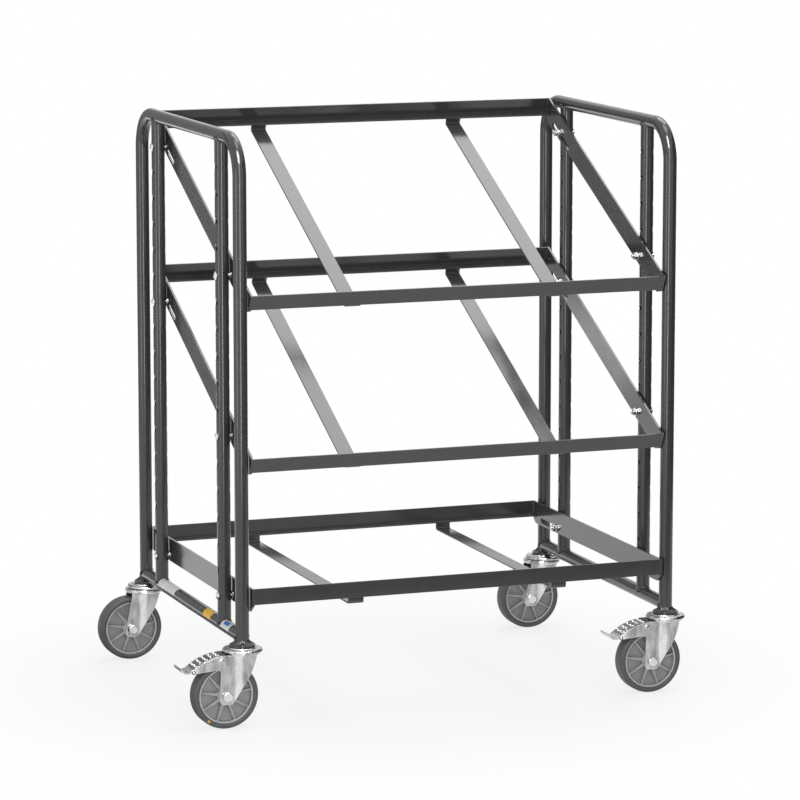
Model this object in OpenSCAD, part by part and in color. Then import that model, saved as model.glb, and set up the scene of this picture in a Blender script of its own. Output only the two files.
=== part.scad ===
// Trolley for euro containers: two welded tube end frames, three container frames
// bolted between their perforated posts, and four swivel casters.
// X runs along the trolley, Y from the front to the rear, Z up from the floor.

/* [Frame tube] */
// Outside diameter of the tube of the end frames
tube_d = 25.4; // [22:0.2:30]
// Wall thickness of that tube
tube_wall = 2; // [1.5:0.1:3]

/* [End frames] */
// Distance between the two end frames, on their middle planes
frame_pitch = 848; // [700:1:1250]
// Distance between the front and the rear leg of an end frame
leg_pitch = 615; // [580:1:700]
// Distance between the two perforated posts of an end frame
post_pitch = 400; // [340:1:430]
// Height of the bow's top above the lower end of the legs
bow_rise = 940; // [925:1:1100]
// Radius of the bow's two bends, on the tube's axis
bend_r = 68; // [45:1:80]
// Height of the base bar's axis above the lower end of the legs
base_bar_rise = 13; // [13:0.5:20]

/* [Post holes] */
// Diameter of the holes in the posts, for an M8 bolt
hole_d = 9; // [8.4:0.1:10]
// Distance from one hole to the next
hole_step = 50; // [45:0.5:51]
// Height of the lowest hole above the lower end of the legs
first_hole_rise = 69; // [60:1:72]
// Number of holes in each post
hole_count = 17; // [17:1:17]

/* [Container frames] */
// Outside depth of a container frame, from its front face to its rear face
shelf_depth = 648; // [630:1:680]
// Height of the front and rear rails
rail_h = 30; // [24:0.5:32]
// Width of the rails' inward flange, on which the containers stand
rail_flange = 20; // [16:0.5:28]
// Metal thickness of the rails
rail_t = 3; // [2:0.1:4]
// Thickness of the side plates
side_t = 4; // [3:0.1:5]
// Depth of the side plates below the line of their bolts
side_below = 10; // [9:0.5:14]
// Height from the line of the bolts to the top edge of rails and side plates
side_above = 34.5; // [34:0.5:42]
// Length of the side plates' cut lower corners
side_cut_w = 16; // [8:0.5:20]
// Height of those cut corners
side_cut_h = 12; // [6:0.5:14]
// Width of the slots for the rear bolts
slot_w = 10; // [9:0.5:11]
// Width of the slats under the containers
slat_w = 30; // [20:1:50]
// Thickness of the slats
slat_t = 3; // [2:0.1:4]
// Outer radius of the bends at the slats' ends
slat_bend_r = 6; // [5:0.5:8]
// Distance from a rail's outer face to the end of a slat
slat_inset = 14; // [10:0.5:15]

/* [Container frame positions] */
// Hole that carries the front of the lower frame, counted from 0 at the bottom
low_front_hole = 0; // [0:1:1]
// Hole that carries the rear of the lower frame
low_rear_hole = 0; // [0:1:1]
// Hole that carries the front of the middle frame
mid_front_hole = 6; // [5:1:7]
// Hole that carries the rear of the middle frame
mid_rear_hole = 10; // [9:1:10]
// Hole that carries the front of the upper frame
top_front_hole = 12; // [12:1:13]
// Hole that carries the rear of the upper frame
top_rear_hole = 16; // [16:1:16]
// Most holes by which a frame's rear may hang above its front
tilt_holes = 5; // [5:1:6]

/* [Shelf fasteners] */
// Diameter of the bolts that carry the container frames
bolt_d = 8; // [6:0.5:8]
// Diameter of the bolts' domed heads
bolt_head_d = 16; // [13:0.5:20]
// Height of those heads
bolt_head_h = 3.5; // [2:0.1:5]
// Width of the nuts' hexagon across its flats
hex_w = 13; // [11:0.5:14]
// Height of the nuts
nut_h = 6.5; // [5:0.1:8]
// Length of bolt thread that stands out of the nuts
thread_out = 3; // [1:0.5:6]
// Outside diameter of the washers on both sides of the side plates
washer_d = 16; // [12:0.5:20]
// Thickness of those washers
washer_t = 1.6; // [1:0.1:2.5]

/* [Caster wheels] */
// Diameter of the wheels
wheel_d = 125; // [116:1:130]
// Width of the tyre
tyre_w = 32; // [26:0.5:33]
// Thickness of the tyre around the rim
tyre_t = 10.5; // [8:0.5:13]
// Radius of the tyre's rounded shoulders
shoulder_r = 5; // [3:0.5:7]
// Step in the tyre's sides beside the rim
bead_step = 1; // [0.5:0.1:1.5]
// Width of the rim under the tyre
rim_w = 27; // [22:0.5:28]
// Thickness of the rim
rim_t = 3; // [2.5:0.1:5]
// Diameter of the hub's middle boss
boss_d = 32; // [26:0.5:38]
// Thickness of the web between boss and rim
web_t = 5; // [4:0.5:8]
// Number of ribs on each side of the web
rib_count = 9; // [7:1:11]
// Width of a rib at the boss
rib_root_w = 6; // [4:0.5:8]
// Width of a rib at the rim
rib_tip_w = 2.6; // [2:0.1:4]
// Depth of the ribs' edge below the rim's face
rib_sink = 1.6; // [1:0.1:3]
// Diameter of the axle bolt
axle_d = 10; // [8:0.5:12]
// Outside diameter of the bearing bush in the hub
bush_d = 20; // [16:0.5:22]
// Length of the bush that stands out of the boss on each side
bush_out = 1.5; // [0.5:0.1:3]

/* [Caster forks] */
// Distance from the swivel axis back to the wheel's axis
trail = 36; // [32:0.5:40]
// Height from the top of the wheel to the top of the caster's head
head_clear = 25; // [24:0.5:34]
// Outside width of the fork
fork_w = 44; // [44:0.5:50]
// Thickness of the fork's sheet
fork_t = 2.5; // [2:0.1:3]
// Distance from the swivel axis to the foremost point of the fork
fork_front = 28; // [26:0.5:30]
// Distance from the swivel axis back to the rear edge of a plain fork's top
fork_back = 34; // [28:0.5:38]
// Width of a fork leg at the axle
leg_w = 29; // [24:0.5:34]
// Metal of the fork leg below the axle's centre
leg_under = 15.5; // [12:0.5:18]
// Width of the cut corners at the fork leg's foot
leg_cut_w = 5; // [3:0.5:8]
// Height of those cut corners
leg_cut_h = 6; // [3:0.5:9]
// Distance by which a braked fork's leg narrows at the back, towards its top
leg_draw = 2; // [0:0.5:4]
// Height of the fork's front wall above the lower edge of its lip
wall_drop = 49; // [40:1:60]
// Distance from the swivel axis to the corner of the front wall's lower edge
wall_front = 9.7; // [6:0.1:14]
// Diameter of the fork's round crown
crown_d = 66; // [62:0.5:68]
// Thickness of the fork's crown
crown_t = 3; // [2.5:0.1:3.5]
// Diameter of the caster's head
head_d = 75.4; // [75:0.1:80]
// Diameter of the flat top of the caster's head
head_flat_d = 56; // [54:0.5:60]
// Height of the caster's head from its lip to its top
head_h = 8.4; // [8:0.1:8.8]
// Thickness of the head's sheet
head_t = 3; // [2.5:0.1:3.5]
// Size of the head's rounded corners
head_round = 1; // [0.5:0.1:1.5]
// Diameter of the swivel balls
ball_d = 6; // [5.5:0.1:6.5]
// Diameter of the circle on which the balls run
race_d = 44; // [36:0.5:46]
// Number of balls in each swivel
ball_count = 16; // [10:1:18]
// Diameter of the bolt in the swivel's axis
king_d = 12; // [10:0.5:14]
// Diameter of that bolt's head under the fork's crown
king_head_d = 19; // [17:0.5:26]
// Height of that head
king_head_h = 5.5; // [4:0.1:7]
// Width of the axle bolt's hexagon across its flats
axle_hex_w = 16; // [13:0.5:19]
// Height of the axle bolt's head
axle_head_h = 6.4; // [5:0.1:8]
// Height of the axle nut
axle_nut_h = 8; // [6:0.1:10]
// Length of the axle bolt's thread that stands out of its nut
axle_out = 2; // [0.5:0.5:4]
// Diameter of the leg's foot plate
foot_d = 48; // [40:0.5:56]
// Thickness of the foot plate
foot_t = 5; // [4:0.5:8]
// Height of the weld that flares out from the leg to the foot plate
flare_h = 8; // [5:0.5:12]
// Width of that weld at its top
flare_top_w = 2; // [1:0.5:3]
// Width of the bare rim of the foot plate around the weld
foot_rim = 2; // [1:0.5:4]
// Height of the threaded plug above the foot plate, inside the leg
plug_h = 22; // [18:0.5:40]
// Distance from the swivel bolt's end to the top of the plug
king_short = 2; // [0:0.5:6]

/* [Brake] */
// Distance from the swivel axis back to the pedal's pivot
pivot_back = 47; // [45:0.5:50]
// Depth of the pivot below the top of the caster's head
pivot_drop = 20.5; // [19.5:0.5:21]
// Diameter of the pivot pin
pin_d = 6; // [5:0.1:6.5]
// Diameter of the pivot pin's riveted heads
pin_head_d = 10; // [8:0.5:12]
// Height of those heads
pin_head_h = 2; // [1:0.1:3]
// Distance from the swivel axis back to the end of the fork's arms
arm_reach = 104; // [98:0.5:108]
// Depth of the arms' lower edge below the top of the caster's head
arm_drop = 37; // [35:0.5:38]
// Radius of the corner between arm and fork leg
arm_corner_r = 5; // [3:0.5:8]
// Depth of the arms' upper edge below the pedal's face
arm_below = 1; // [0.5:0.1:2]
// Radius of the arms' tips
tip_r = 3; // [2:0.5:4]
// Height of an arm's end above the middle of its tip
tip_drop = 1.7; // [1:0.1:3]
// Radius of the pedal's arch
arch_r = 108; // [100:1:116]
// Distance from the swivel axis back to the highest point of the arch
arch_back = 34; // [32:0.5:36]
// Depth of the arch's highest point below the top of the caster's head
arch_drop = 9.5; // [9:0.5:10.5]
// Thickness of the pedal's sheet
pedal_t = 2.5; // [2:0.1:3]
// Angle along the arch from its highest point to the pedal's inner end
arch_start = 3.2; // [3:0.1:6]
// Thickness of the pedal's ears, which hold the pivot pin
ear_t = 2; // [1.5:0.1:2.5]
// Radius of those ears around the pin
ear_r = 7; // [6:0.5:7]
// Radius of the pedal's upturned lip
lip_r = 11.8; // [8:0.1:14]
// Angle through which the lip turns up
lip_turn = 115; // [90:1:130]
// Width of the lip, outside the fork's arms
lip_w = 44; // [38:0.5:48]
// Angle by which the pedal goes down
press_angle = 14; // [10:0.5:14]
// Width of the brake shoe
shoe_w = 26; // [20:0.5:30]
// Thickness of the shoe's walls
shoe_t = 3; // [2:0.1:4]
// Distance from the end of the fork's arms to the shoe's outer end
shoe_inset = 12; // [8:0.5:16]
// Distance from the pedal's ears to the shoe's inner end
shoe_clear = 6; // [4:0.5:10]

/* [Fits] */
// Gap at a welded joint
weld_gap = 0.05; // [0.02:0.01:0.2]
// Radial running clearance of pins, bolts and bushes
run_gap = 0.05; // [0.02:0.01:0.1]
// Gap left where two pieces lie against each other
lie_gap = 0.05; // [0.02:0.01:0.1]
// Gap between a moving piece and what it passes
pass_gap = 1; // [0.6:0.1:1.2]
// Gap between the pressed brake shoe and the tyre
brake_gap = 0.3; // [0.2:0.05:0.6]

/* [Hidden] */
$fn = 64;

// Sides of the trolley, as signs along X and Y
LEFT = -1;
RIGHT = 1;
FRONT = -1;
REAR = 1;

// Colours
FRAME_GREY = "#515355";
ZINC = "#c3c6c9";
TYRE_GREY = "#5b5c5e";
HUB_GREY = "#87898c";
STEEL = "#a4a6a8";

// Reach of a cutter past the piece that it cuts
cut = 1;

// Depth to which joined shapes of one piece run into each other
bite = 1;

// Heights in the end frames
caster_h = wheel_d + head_clear;
leg_z = caster_h + foot_t;
base_bar_z = leg_z + base_bar_rise;
bow_z = leg_z + bow_rise - tube_d / 2;
bend_z = bow_z - bend_r;
tube_bore = tube_d - 2 * tube_wall;
function hole_z(i) = leg_z + first_hole_rise + i * hole_step;

// Brake pedal, in the plane of the wheel, measured from the swivel axis at the floor
pivot = [-pivot_back, caster_h - pivot_drop];
arch_c = [-arch_back, caster_h - arch_drop - arch_r];
arch_turn = asin((arm_reach - arch_back) / arch_r);
lip_c = arch_c + (arch_r + lip_r) * [-sin(arch_turn), cos(arch_turn)];
lip_end = lip_c + lip_r * [cos(arch_turn - 90 - lip_turn), sin(arch_turn - 90 - lip_turn)];

// The origin lies on the floor, below the middle of the whole trolley. The
// casters trail to the left, so the end frames stand a little to its right.
lip_far = lip_end[0] + pedal_t * cos(arch_turn - 90 - lip_turn);
mid_x = (-lip_far - head_d / 2) / 2;
function frame_x(side) = mid_x + side * frame_pitch / 2;
function leg_y(row) = row * leg_pitch / 2;
function post_y(row) = row * post_pitch / 2;

// Container frames: side plates lie against the washers on the posts
side_gap = washer_t + 2 * lie_gap;
shelf_half = frame_pitch / 2 - tube_d / 2 - side_gap;
rail_half = shelf_half - side_t;
front_over = (shelf_depth - post_pitch) / 2;
rail_below = side_above - rail_h;
slot_from = post_pitch - slot_w;
slot_to = norm([post_pitch, tilt_holes * hole_step]) + slot_w / 2;
slat_x = rail_half / 2;
function tilt(front_hole, rear_hole) = atan((rear_hole - front_hole) * hole_step / post_pitch);

// Casters, measured from the swivel axis at the floor
wheel_r = wheel_d / 2;
rim_r = wheel_r - tyre_t;
axle_x = -trail;
crown_z = caster_h - head_t - ball_d - 2 * lie_gap;
ball_z = crown_z + lie_gap + ball_d / 2;
fork_in = fork_w / 2 - fork_t;
bush_half = fork_in - 2 * run_gap;
boss_half = bush_half - bush_out;
king_top = leg_z + plug_h - king_short;
pedal_half = fork_in - pass_gap;

// A point turned about a centre, counterclockwise in the plane of the wheel
function turned(p, c, a) = c + [
    (p[0] - c[0]) * cos(a) - (p[1] - c[1]) * sin(a),
    (p[0] - c[0]) * sin(a) + (p[1] - c[1]) * cos(a)
];

// Points along an arc from angle a0 to angle a1
function arc(c, r, a0, a1, steps) = [
    for (i = [0:steps]) let (a = a0 + (a1 - a0) * i / steps) c + r * [cos(a), sin(a)]
];

// A flat profile drawn in Y and Z, thick along X and centred there
module across_x(w) {
    rotate([90, 0, 90]) translate([0, 0, -w / 2]) linear_extrude(w) children();
}

// A flat profile drawn in X and Z, thick along Y and centred there
module across_y(w) {
    rotate([90, 0, 0]) translate([0, 0, -w / 2]) linear_extrude(w) children();
}

module rod_x(d, w) {
    rotate([0, 90, 0]) cylinder(d = d, h = w, center = true);
}

module rod_y(d, w) {
    rotate([90, 0, 0]) cylinder(d = d, h = w, center = true);
}

module hexagon(w, h) {
    cylinder(d = w / cos(30), h = h, $fn = 6);
}

// End frames

// The run of the bent tube, for its outside or its bore
module bow_run(d, over) {
    for (row = [FRONT, REAR]) {
        translate([0, leg_y(row), leg_z - over]) cylinder(d = d, h = bend_z - leg_z + over);
        mirror([0, row == FRONT ? 1 : 0, 0])
            translate([0, leg_pitch / 2 - bend_r, bend_z])
                rotate([90, 0, 90]) rotate_extrude(angle = 90) translate([bend_r, 0]) circle(d = d);
    }
    translate([0, 0, bow_z]) rod_y(d, leg_pitch - 2 * bend_r);
}

module bow(side) {
    color(FRAME_GREY) translate([frame_x(side), 0, 0]) difference() {
        bow_run(tube_d, 0);
        bow_run(tube_bore, cut);
    }
}

module post(side, row) {
    color(FRAME_GREY) translate([frame_x(side), post_y(row), 0]) difference() {
        translate([0, 0, base_bar_z]) cylinder(d = tube_d, h = bow_z - base_bar_z);
        translate([0, 0, base_bar_z - cut]) cylinder(d = tube_bore, h = bow_z - base_bar_z + 2 * cut);
        for (z = [base_bar_z, bow_z])
            translate([0, 0, z]) rod_y(tube_d + 2 * weld_gap, 2 * tube_d);
        for (i = [0:hole_count - 1])
            translate([0, 0, hole_z(i)]) rod_x(hole_d, 2 * tube_d);
    }
}

module base_bar(side) {
    color(FRAME_GREY) translate([frame_x(side), 0, base_bar_z]) difference() {
        rod_y(tube_d, leg_pitch);
        rod_y(tube_bore, leg_pitch + 2 * cut);
        for (row = [FRONT, REAR])
            translate([0, leg_y(row), -tube_d]) cylinder(d = tube_d + 2 * weld_gap, h = 2 * tube_d);
    }
}

// Repeats a piece at the foot of each leg
module at_each_leg() {
    for (side = [LEFT, RIGHT], row = [FRONT, REAR])
        translate([frame_x(side), leg_y(row), 0]) children();
}

// Plate under each leg, with a threaded plug inside the tube and a weld around it
module leg_feet() {
    weld_in = tube_d / 2 + weld_gap;
    weld_out = foot_d / 2 - foot_rim;
    color(FRAME_GREY) {
        at_each_leg() translate([0, 0, caster_h]) difference() {
            union() {
                cylinder(d = foot_d, h = foot_t);
                cylinder(d = tube_bore - 2 * weld_gap, h = foot_t + plug_h);
            }
            translate([0, 0, -cut]) cylinder(d = king_d + 2 * run_gap, h = foot_t + plug_h + 2 * cut);
        }
        difference() {
            at_each_leg() translate([0, 0, leg_z]) rotate_extrude() polygon([
                [weld_in, -bite], [weld_out, -bite], [weld_out, 0],
                [weld_in + flare_top_w, flare_h], [weld_in, flare_h]
            ]);
            for (side = [LEFT, RIGHT])
                translate([frame_x(side), 0, base_bar_z]) rod_y(tube_d + 2 * weld_gap, leg_pitch);
        }
    }
}

// Container frames

// Puts a piece on a container frame. Y runs back from the front bolts, Z up from them.
module on_frame(front_hole, rear_hole) {
    translate([mid_x, post_y(FRONT), hole_z(front_hole)])
        rotate([tilt(front_hole, rear_hole), 0, 0]) children();
}

// Angle rail; row says whether its upright faces the front or the rear
module rail(front_hole, rear_hole, row) {
    face = row == FRONT ? -front_over : shelf_depth - front_over;
    color(FRAME_GREY) on_frame(front_hole, rear_hole)
        translate([0, face, 0]) mirror([0, row == FRONT ? 0 : 1, 0])
            across_x(2 * rail_half - 2 * weld_gap) polygon([
                [0, rail_below], [rail_flange, rail_below], [rail_flange, rail_below + rail_t],
                [rail_t, rail_below + rail_t], [rail_t, side_above], [0, side_above]
            ]);
}

// Side plate with a hole for the front bolt and a slot for the rear one
module side_plate(front_hole, rear_hole, side) {
    height = side_below + side_above;
    color(FRAME_GREY) on_frame(front_hole, rear_hole)
        translate([side * (shelf_half - side_t / 2), 0, 0]) across_x(side_t) difference() {
            translate([-front_over, -side_below]) polygon([
                [0, height], [0, side_cut_h], [side_cut_w, 0], [shelf_depth - side_cut_w, 0],
                [shelf_depth, side_cut_h], [shelf_depth, height]
            ]);
            circle(d = hole_d);
            translate([slot_from, -slot_w / 2]) square([slot_to - slot_from, slot_w]);
            for (x = [slot_from, slot_to]) translate([x, 0]) circle(d = slot_w);
        }
}

// Flat bar under the containers, both ends turned up to the rails' flanges
module slat(front_hole, rear_hole, side) {
    run = shelf_depth - 2 * slat_inset;
    rise = side_below + rail_below - weld_gap;
    color(FRAME_GREY) on_frame(front_hole, rear_hole)
        translate([side * slat_x, slat_inset - front_over, -side_below]) across_x(slat_w) {
            translate([slat_bend_r, 0]) square([run - 2 * slat_bend_r, slat_t]);
            for (end = [0, 1]) translate([end * run, 0]) mirror([end, 0]) {
                translate([0, slat_bend_r]) square([slat_t, rise - slat_bend_r]);
                intersection() {
                    square(slat_bend_r);
                    translate([slat_bend_r, slat_bend_r]) difference() {
                        circle(r = slat_bend_r);
                        circle(r = slat_bend_r - slat_t);
                    }
                }
            }
        }
}

// Repeats a fastener at each bolt of the three frames, along X out of the trolley
module at_each_bolt() {
    holes = [
        [low_front_hole, low_rear_hole], [mid_front_hole, mid_rear_hole], [top_front_hole, top_rear_hole]
    ];
    for (side = [LEFT, RIGHT], pair = holes, row = [FRONT, REAR])
        translate([frame_x(side), post_y(row), hole_z(row == FRONT ? pair[0] : pair[1])])
            rotate([0, side * 90, 0]) children();
}

// Depths from the post's axis of the side plate's inner face and of the washer that lies on it
plate_face = tube_d / 2 + side_gap + side_t;
washer_face = plate_face + lie_gap + washer_t;

// Bolt with a low domed head
module shelf_bolts() {
    inner_end = washer_face + lie_gap + nut_h + thread_out;
    dome_r = (pow(bolt_head_d / 2, 2) + pow(bolt_head_h, 2)) / (2 * bolt_head_h);
    color(ZINC) at_each_bolt() {
        translate([0, 0, tube_d / 2]) intersection() {
            cylinder(d = bolt_head_d, h = bolt_head_h);
            translate([0, 0, bolt_head_h - dome_r]) sphere(r = dome_r);
        }
        translate([0, 0, -inner_end]) cylinder(d = bolt_d, h = inner_end + tube_d / 2);
    }
}

module shelf_washers() {
    color(ZINC) at_each_bolt() for (face = [tube_d / 2 + lie_gap + washer_t, washer_face])
        translate([0, 0, -face]) difference() {
            cylinder(d = washer_d, h = washer_t);
            translate([0, 0, -cut]) cylinder(d = bolt_d + 2 * run_gap, h = washer_t + 2 * cut);
        }
}

module shelf_nuts() {
    color(ZINC) at_each_bolt() translate([0, 0, -washer_face - lie_gap - nut_h]) difference() {
        hexagon(hex_w, nut_h);
        translate([0, 0, -cut]) cylinder(d = bolt_d + 2 * run_gap, h = nut_h + 2 * cut);
    }
}

// Caster heads, bolted under the feet

// Round pressed head with a turned-down lip
module caster_heads() {
    lip_in = head_d / 2 - fork_t;
    flat_r = head_flat_d / 2;
    shelf_r = (flat_r + head_d / 2) / 2;
    color(ZINC) at_each_leg() translate([0, 0, caster_h]) rotate_extrude() polygon([
        [king_d / 2 + run_gap, 0], [flat_r, 0], [shelf_r, -head_t / 2],
        [head_d / 2 - head_round, -head_t / 2 - head_round], [head_d / 2, -head_t - head_round],
        [head_d / 2, -head_h], [lip_in, -head_h], [lip_in, -head_t - 2 * head_round],
        [flat_r, -head_t], [king_d / 2 + run_gap, -head_t]
    ]);
}

module king_bolts() {
    head_z = crown_z - crown_t - brake_gap - king_head_h;
    color(ZINC) at_each_leg() {
        translate([0, 0, head_z]) cylinder(d = king_head_d, h = king_head_h);
        translate([0, 0, head_z]) cylinder(d = king_d, h = king_top - head_z);
    }
}

module swivel_balls() {
    color(STEEL) at_each_leg() for (i = [0:ball_count - 1])
        rotate([0, 0, i * 360 / ball_count]) translate([race_d / 2, 0, ball_z]) sphere(d = ball_d);
}

// Casters: a fork that swivels, an axle, and a wheel on it

// Puts a piece at a caster's swivel axis
module on_caster(side, row) {
    translate([frame_x(side), leg_y(row), 0]) children();
}

// The foot of a fork leg around the axle, from its front edge to its rear edge
leg_low = wheel_r - leg_under;
leg_end = [
    [axle_x + leg_w / 2, leg_low + leg_cut_h], [axle_x + leg_w / 2 - leg_cut_w, leg_low],
    [axle_x - leg_w / 2 + leg_cut_w, leg_low], [axle_x - leg_w / 2, leg_low + leg_cut_h]
];

// The sloping front edge of the fork
front_edge = [[fork_front, caster_h], [fork_front, caster_h - head_h], [wall_front, caster_h - wall_drop]];

plain_side = concat(front_edge, leg_end, [[-fork_back, crown_z - crown_t], [-fork_back, caster_h]]);

// The braked fork has two arms that carry the pedal
arm_z = caster_h - arm_drop;
arm_end = arch_c + [-arch_r * sin(arch_turn), arch_r * cos(arch_turn) - arm_below];
leg_back = axle_x - leg_w / 2 + leg_draw;
braked_side = concat(
    front_edge, leg_end,
    arc([leg_back - arm_corner_r, arm_z - arm_corner_r], arm_corner_r, 0, 90, 6),
    arc(arm_end + [tip_r, -tip_drop], tip_r, 265, 180, 4),
    arc(arch_c - [0, arm_below], arch_r, 90 + arch_turn, 90, 16)
);

module fork(side, row, braked) {
    wall_x = fork_front - fork_w / 2;
    color(ZINC) on_caster(side, row) difference() {
        union() {
            translate([0, 0, crown_z - crown_t]) cylinder(d = crown_d, h = crown_t);
            intersection() {
                linear_extrude(crown_z - crown_t / 2) difference() {
                    fork_plan(wall_x, fork_w / 2);
                    fork_plan(wall_x, fork_in);
                }
                across_y(2 * fork_w) polygon(braked ? braked_side : plain_side);
            }
        }
        translate([0, 0, crown_z - crown_t - cut]) cylinder(d = king_d + 2 * run_gap, h = crown_t + 2 * cut);
        translate([axle_x, 0, wheel_r]) rod_y(axle_d + 2 * run_gap, 2 * fork_w);
        if (braked) translate([pivot[0], 0, pivot[1]]) rod_y(pin_d + 2 * run_gap, 2 * fork_w);
    }
}

// Plan of the fork: a half circle in front and straight sides behind
module fork_plan(x, r) {
    translate([x, 0]) circle(r = r);
    translate([-2 * arm_reach, -r]) square([2 * arm_reach + x, 2 * r]);
}

module axle(side, row) {
    face = fork_w / 2;
    color(ZINC) on_caster(side, row) translate([axle_x, 0, wheel_r]) {
        translate([0, -face, 0]) rotate([90, 0, 0]) hexagon(axle_hex_w, axle_head_h);
        translate([0, (axle_nut_h + axle_out) / 2, 0]) rod_y(axle_d, 2 * face + axle_nut_h + axle_out);
        translate([0, face + lie_gap + axle_nut_h, 0]) rotate([90, 0, 0]) difference() {
            hexagon(axle_hex_w, axle_nut_h);
            translate([0, 0, -cut]) cylinder(d = axle_d + 2 * run_gap, h = axle_nut_h + 2 * cut);
        }
    }
}

// Puts a wheel piece on its axle, with the wheel's axis along Z
module on_axle(side, row) {
    on_caster(side, row) translate([axle_x, 0, wheel_r]) rotate([90, 0, 0]) children();
}

module hub(side, row) {
    seat = rim_r - rim_t;
    rib_from = boss_d / 2 - bite;
    rib_h = rim_w - 2 * rib_sink;
    color(HUB_GREY) on_axle(side, row) difference() {
        union() {
            cylinder(d = boss_d, h = 2 * boss_half, center = true);
            cylinder(r = seat + bite, h = web_t, center = true);
            difference() {
                cylinder(r = rim_r - lie_gap, h = rim_w, center = true);
                cylinder(r = seat, h = rim_w + 2 * cut, center = true);
            }
            for (i = [0:rib_count - 1]) rotate([0, 0, 90 + i * 360 / rib_count])
                translate([0, 0, -rib_h / 2]) linear_extrude(rib_h) polygon([
                    [rib_from, -rib_root_w / 2], [seat + bite, -rib_tip_w / 2],
                    [seat + bite, rib_tip_w / 2], [rib_from, rib_root_w / 2]
                ]);
        }
        cylinder(d = bush_d + 2 * lie_gap, h = 2 * boss_half + 2 * cut, center = true);
    }
}

module tyre(side, row) {
    flat = tyre_w / 2 - shoulder_r;
    color(TYRE_GREY) on_axle(side, row) rotate_extrude($fn = 128) {
        translate([rim_r, bead_step - tyre_w / 2])
            square([wheel_r - shoulder_r - rim_r, tyre_w - 2 * bead_step]);
        translate([rim_r + bead_step, -tyre_w / 2])
            square([wheel_r - shoulder_r - rim_r - bead_step, tyre_w]);
        translate([rim_r, -flat]) square([wheel_r - rim_r, 2 * flat]);
        for (z = [-flat, flat]) translate([wheel_r - shoulder_r, z]) circle(r = shoulder_r);
    }
}

module bush(side, row) {
    color(STEEL) on_axle(side, row) difference() {
        cylinder(d = bush_d, h = 2 * bush_half, center = true);
        cylinder(d = axle_d + 2 * run_gap, h = 2 * bush_half + 2 * cut, center = true);
    }
}

// Brakes of the two front casters

// The pedal's sheet is an arch and then a lip that turns up. Its two faces as rows of points.
arch_steps = 24;
lip_steps = 20;
// The sheet grows to the lip's width this many steps past the end of the fork's arms
wide_after = 2;
pedal_top = concat(
    arc(arch_c, arch_r, 90 + arch_start, 90 + arch_turn, arch_steps),
    arc(lip_c, lip_r, arch_turn - 90, arch_turn - 90 - lip_turn, lip_steps)
);
pedal_underside = concat(
    arc(arch_c, arch_r - pedal_t, 90 + arch_start, 90 + arch_turn, arch_steps),
    arc(lip_c, lip_r + pedal_t, arch_turn - 90, arch_turn - 90 - lip_turn, lip_steps)
);

module pedal_sheet(from, to) {
    polygon(concat([for (i = [from:to]) pedal_top[i]], [for (i = [to:-1:from]) pedal_underside[i]]));
}

module pedal(side) {
    ear_y = pedal_half - ear_t / 2;
    wide_from = arch_steps + 1 + wide_after;
    color(ZINC) on_caster(side, FRONT) {
        across_y(2 * pedal_half) pedal_sheet(0, wide_from + 1);
        across_y(lip_w) pedal_sheet(wide_from, arch_steps + 1 + lip_steps);
        for (y = [-ear_y, ear_y]) translate([0, y, 0]) across_y(ear_t) difference() {
            union() {
                translate(pivot) circle(r = ear_r);
                intersection() {
                    translate([pivot[0] - ear_r, pivot[1]]) square([2 * ear_r, arch_r]);
                    translate(arch_c) circle(r = arch_r - pedal_t / 2, $fn = 128);
                }
            }
            translate(pivot) circle(d = pin_d + 2 * run_gap);
        }
    }
}

module pivot_pin(side) {
    color(ZINC) on_caster(side, FRONT) translate([pivot[0], 0, pivot[1]]) {
        rod_y(pin_d, fork_w + 2 * lie_gap);
        for (y = [-1, 1]) translate([0, y * (fork_w / 2 + lie_gap + pin_head_h / 2), 0])
            rod_y(pin_head_d, pin_head_h);
    }
}

// Shoe under the pedal. Its face is the tyre's curve, turned back by the pedal's travel.
module brake_shoe(side) {
    hold = turned([axle_x, wheel_r], pivot, -press_angle);
    face_r = wheel_r + brake_gap;
    back = arm_reach - shoe_inset;
    front = pivot_back + ear_r + shoe_clear;
    color(STEEL) on_caster(side, FRONT) across_y(shoe_w) intersection() {
        difference() {
            translate(arch_c) circle(r = arch_r - pedal_t - lie_gap, $fn = 128);
            translate(hold) circle(r = face_r, $fn = 128);
            difference() {
                translate([shoe_t - back, 0]) square([back - front - 2 * shoe_t, caster_h]);
                translate(hold) circle(r = face_r + shoe_t, $fn = 128);
            }
        }
        translate([-back, wheel_r]) square([back - front, caster_h]);
    }
}

bow(LEFT);  // left_bow
bow(RIGHT);  // right_bow
post(LEFT, FRONT);  // left_front_post
post(LEFT, REAR);  // left_rear_post
post(RIGHT, FRONT);  // right_front_post
post(RIGHT, REAR);  // right_rear_post
base_bar(LEFT);  // left_base_bar
base_bar(RIGHT);  // right_base_bar
leg_feet();

rail(low_front_hole, low_rear_hole, FRONT);  // lower_front_rail
rail(low_front_hole, low_rear_hole, REAR);  // lower_rear_rail
side_plate(low_front_hole, low_rear_hole, LEFT);  // lower_left_side
side_plate(low_front_hole, low_rear_hole, RIGHT);  // lower_right_side
slat(low_front_hole, low_rear_hole, LEFT);  // lower_left_slat
slat(low_front_hole, low_rear_hole, RIGHT);  // lower_right_slat

rail(mid_front_hole, mid_rear_hole, FRONT);  // middle_front_rail
rail(mid_front_hole, mid_rear_hole, REAR);  // middle_rear_rail
side_plate(mid_front_hole, mid_rear_hole, LEFT);  // middle_left_side
side_plate(mid_front_hole, mid_rear_hole, RIGHT);  // middle_right_side
slat(mid_front_hole, mid_rear_hole, LEFT);  // middle_left_slat
slat(mid_front_hole, mid_rear_hole, RIGHT);  // middle_right_slat

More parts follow.
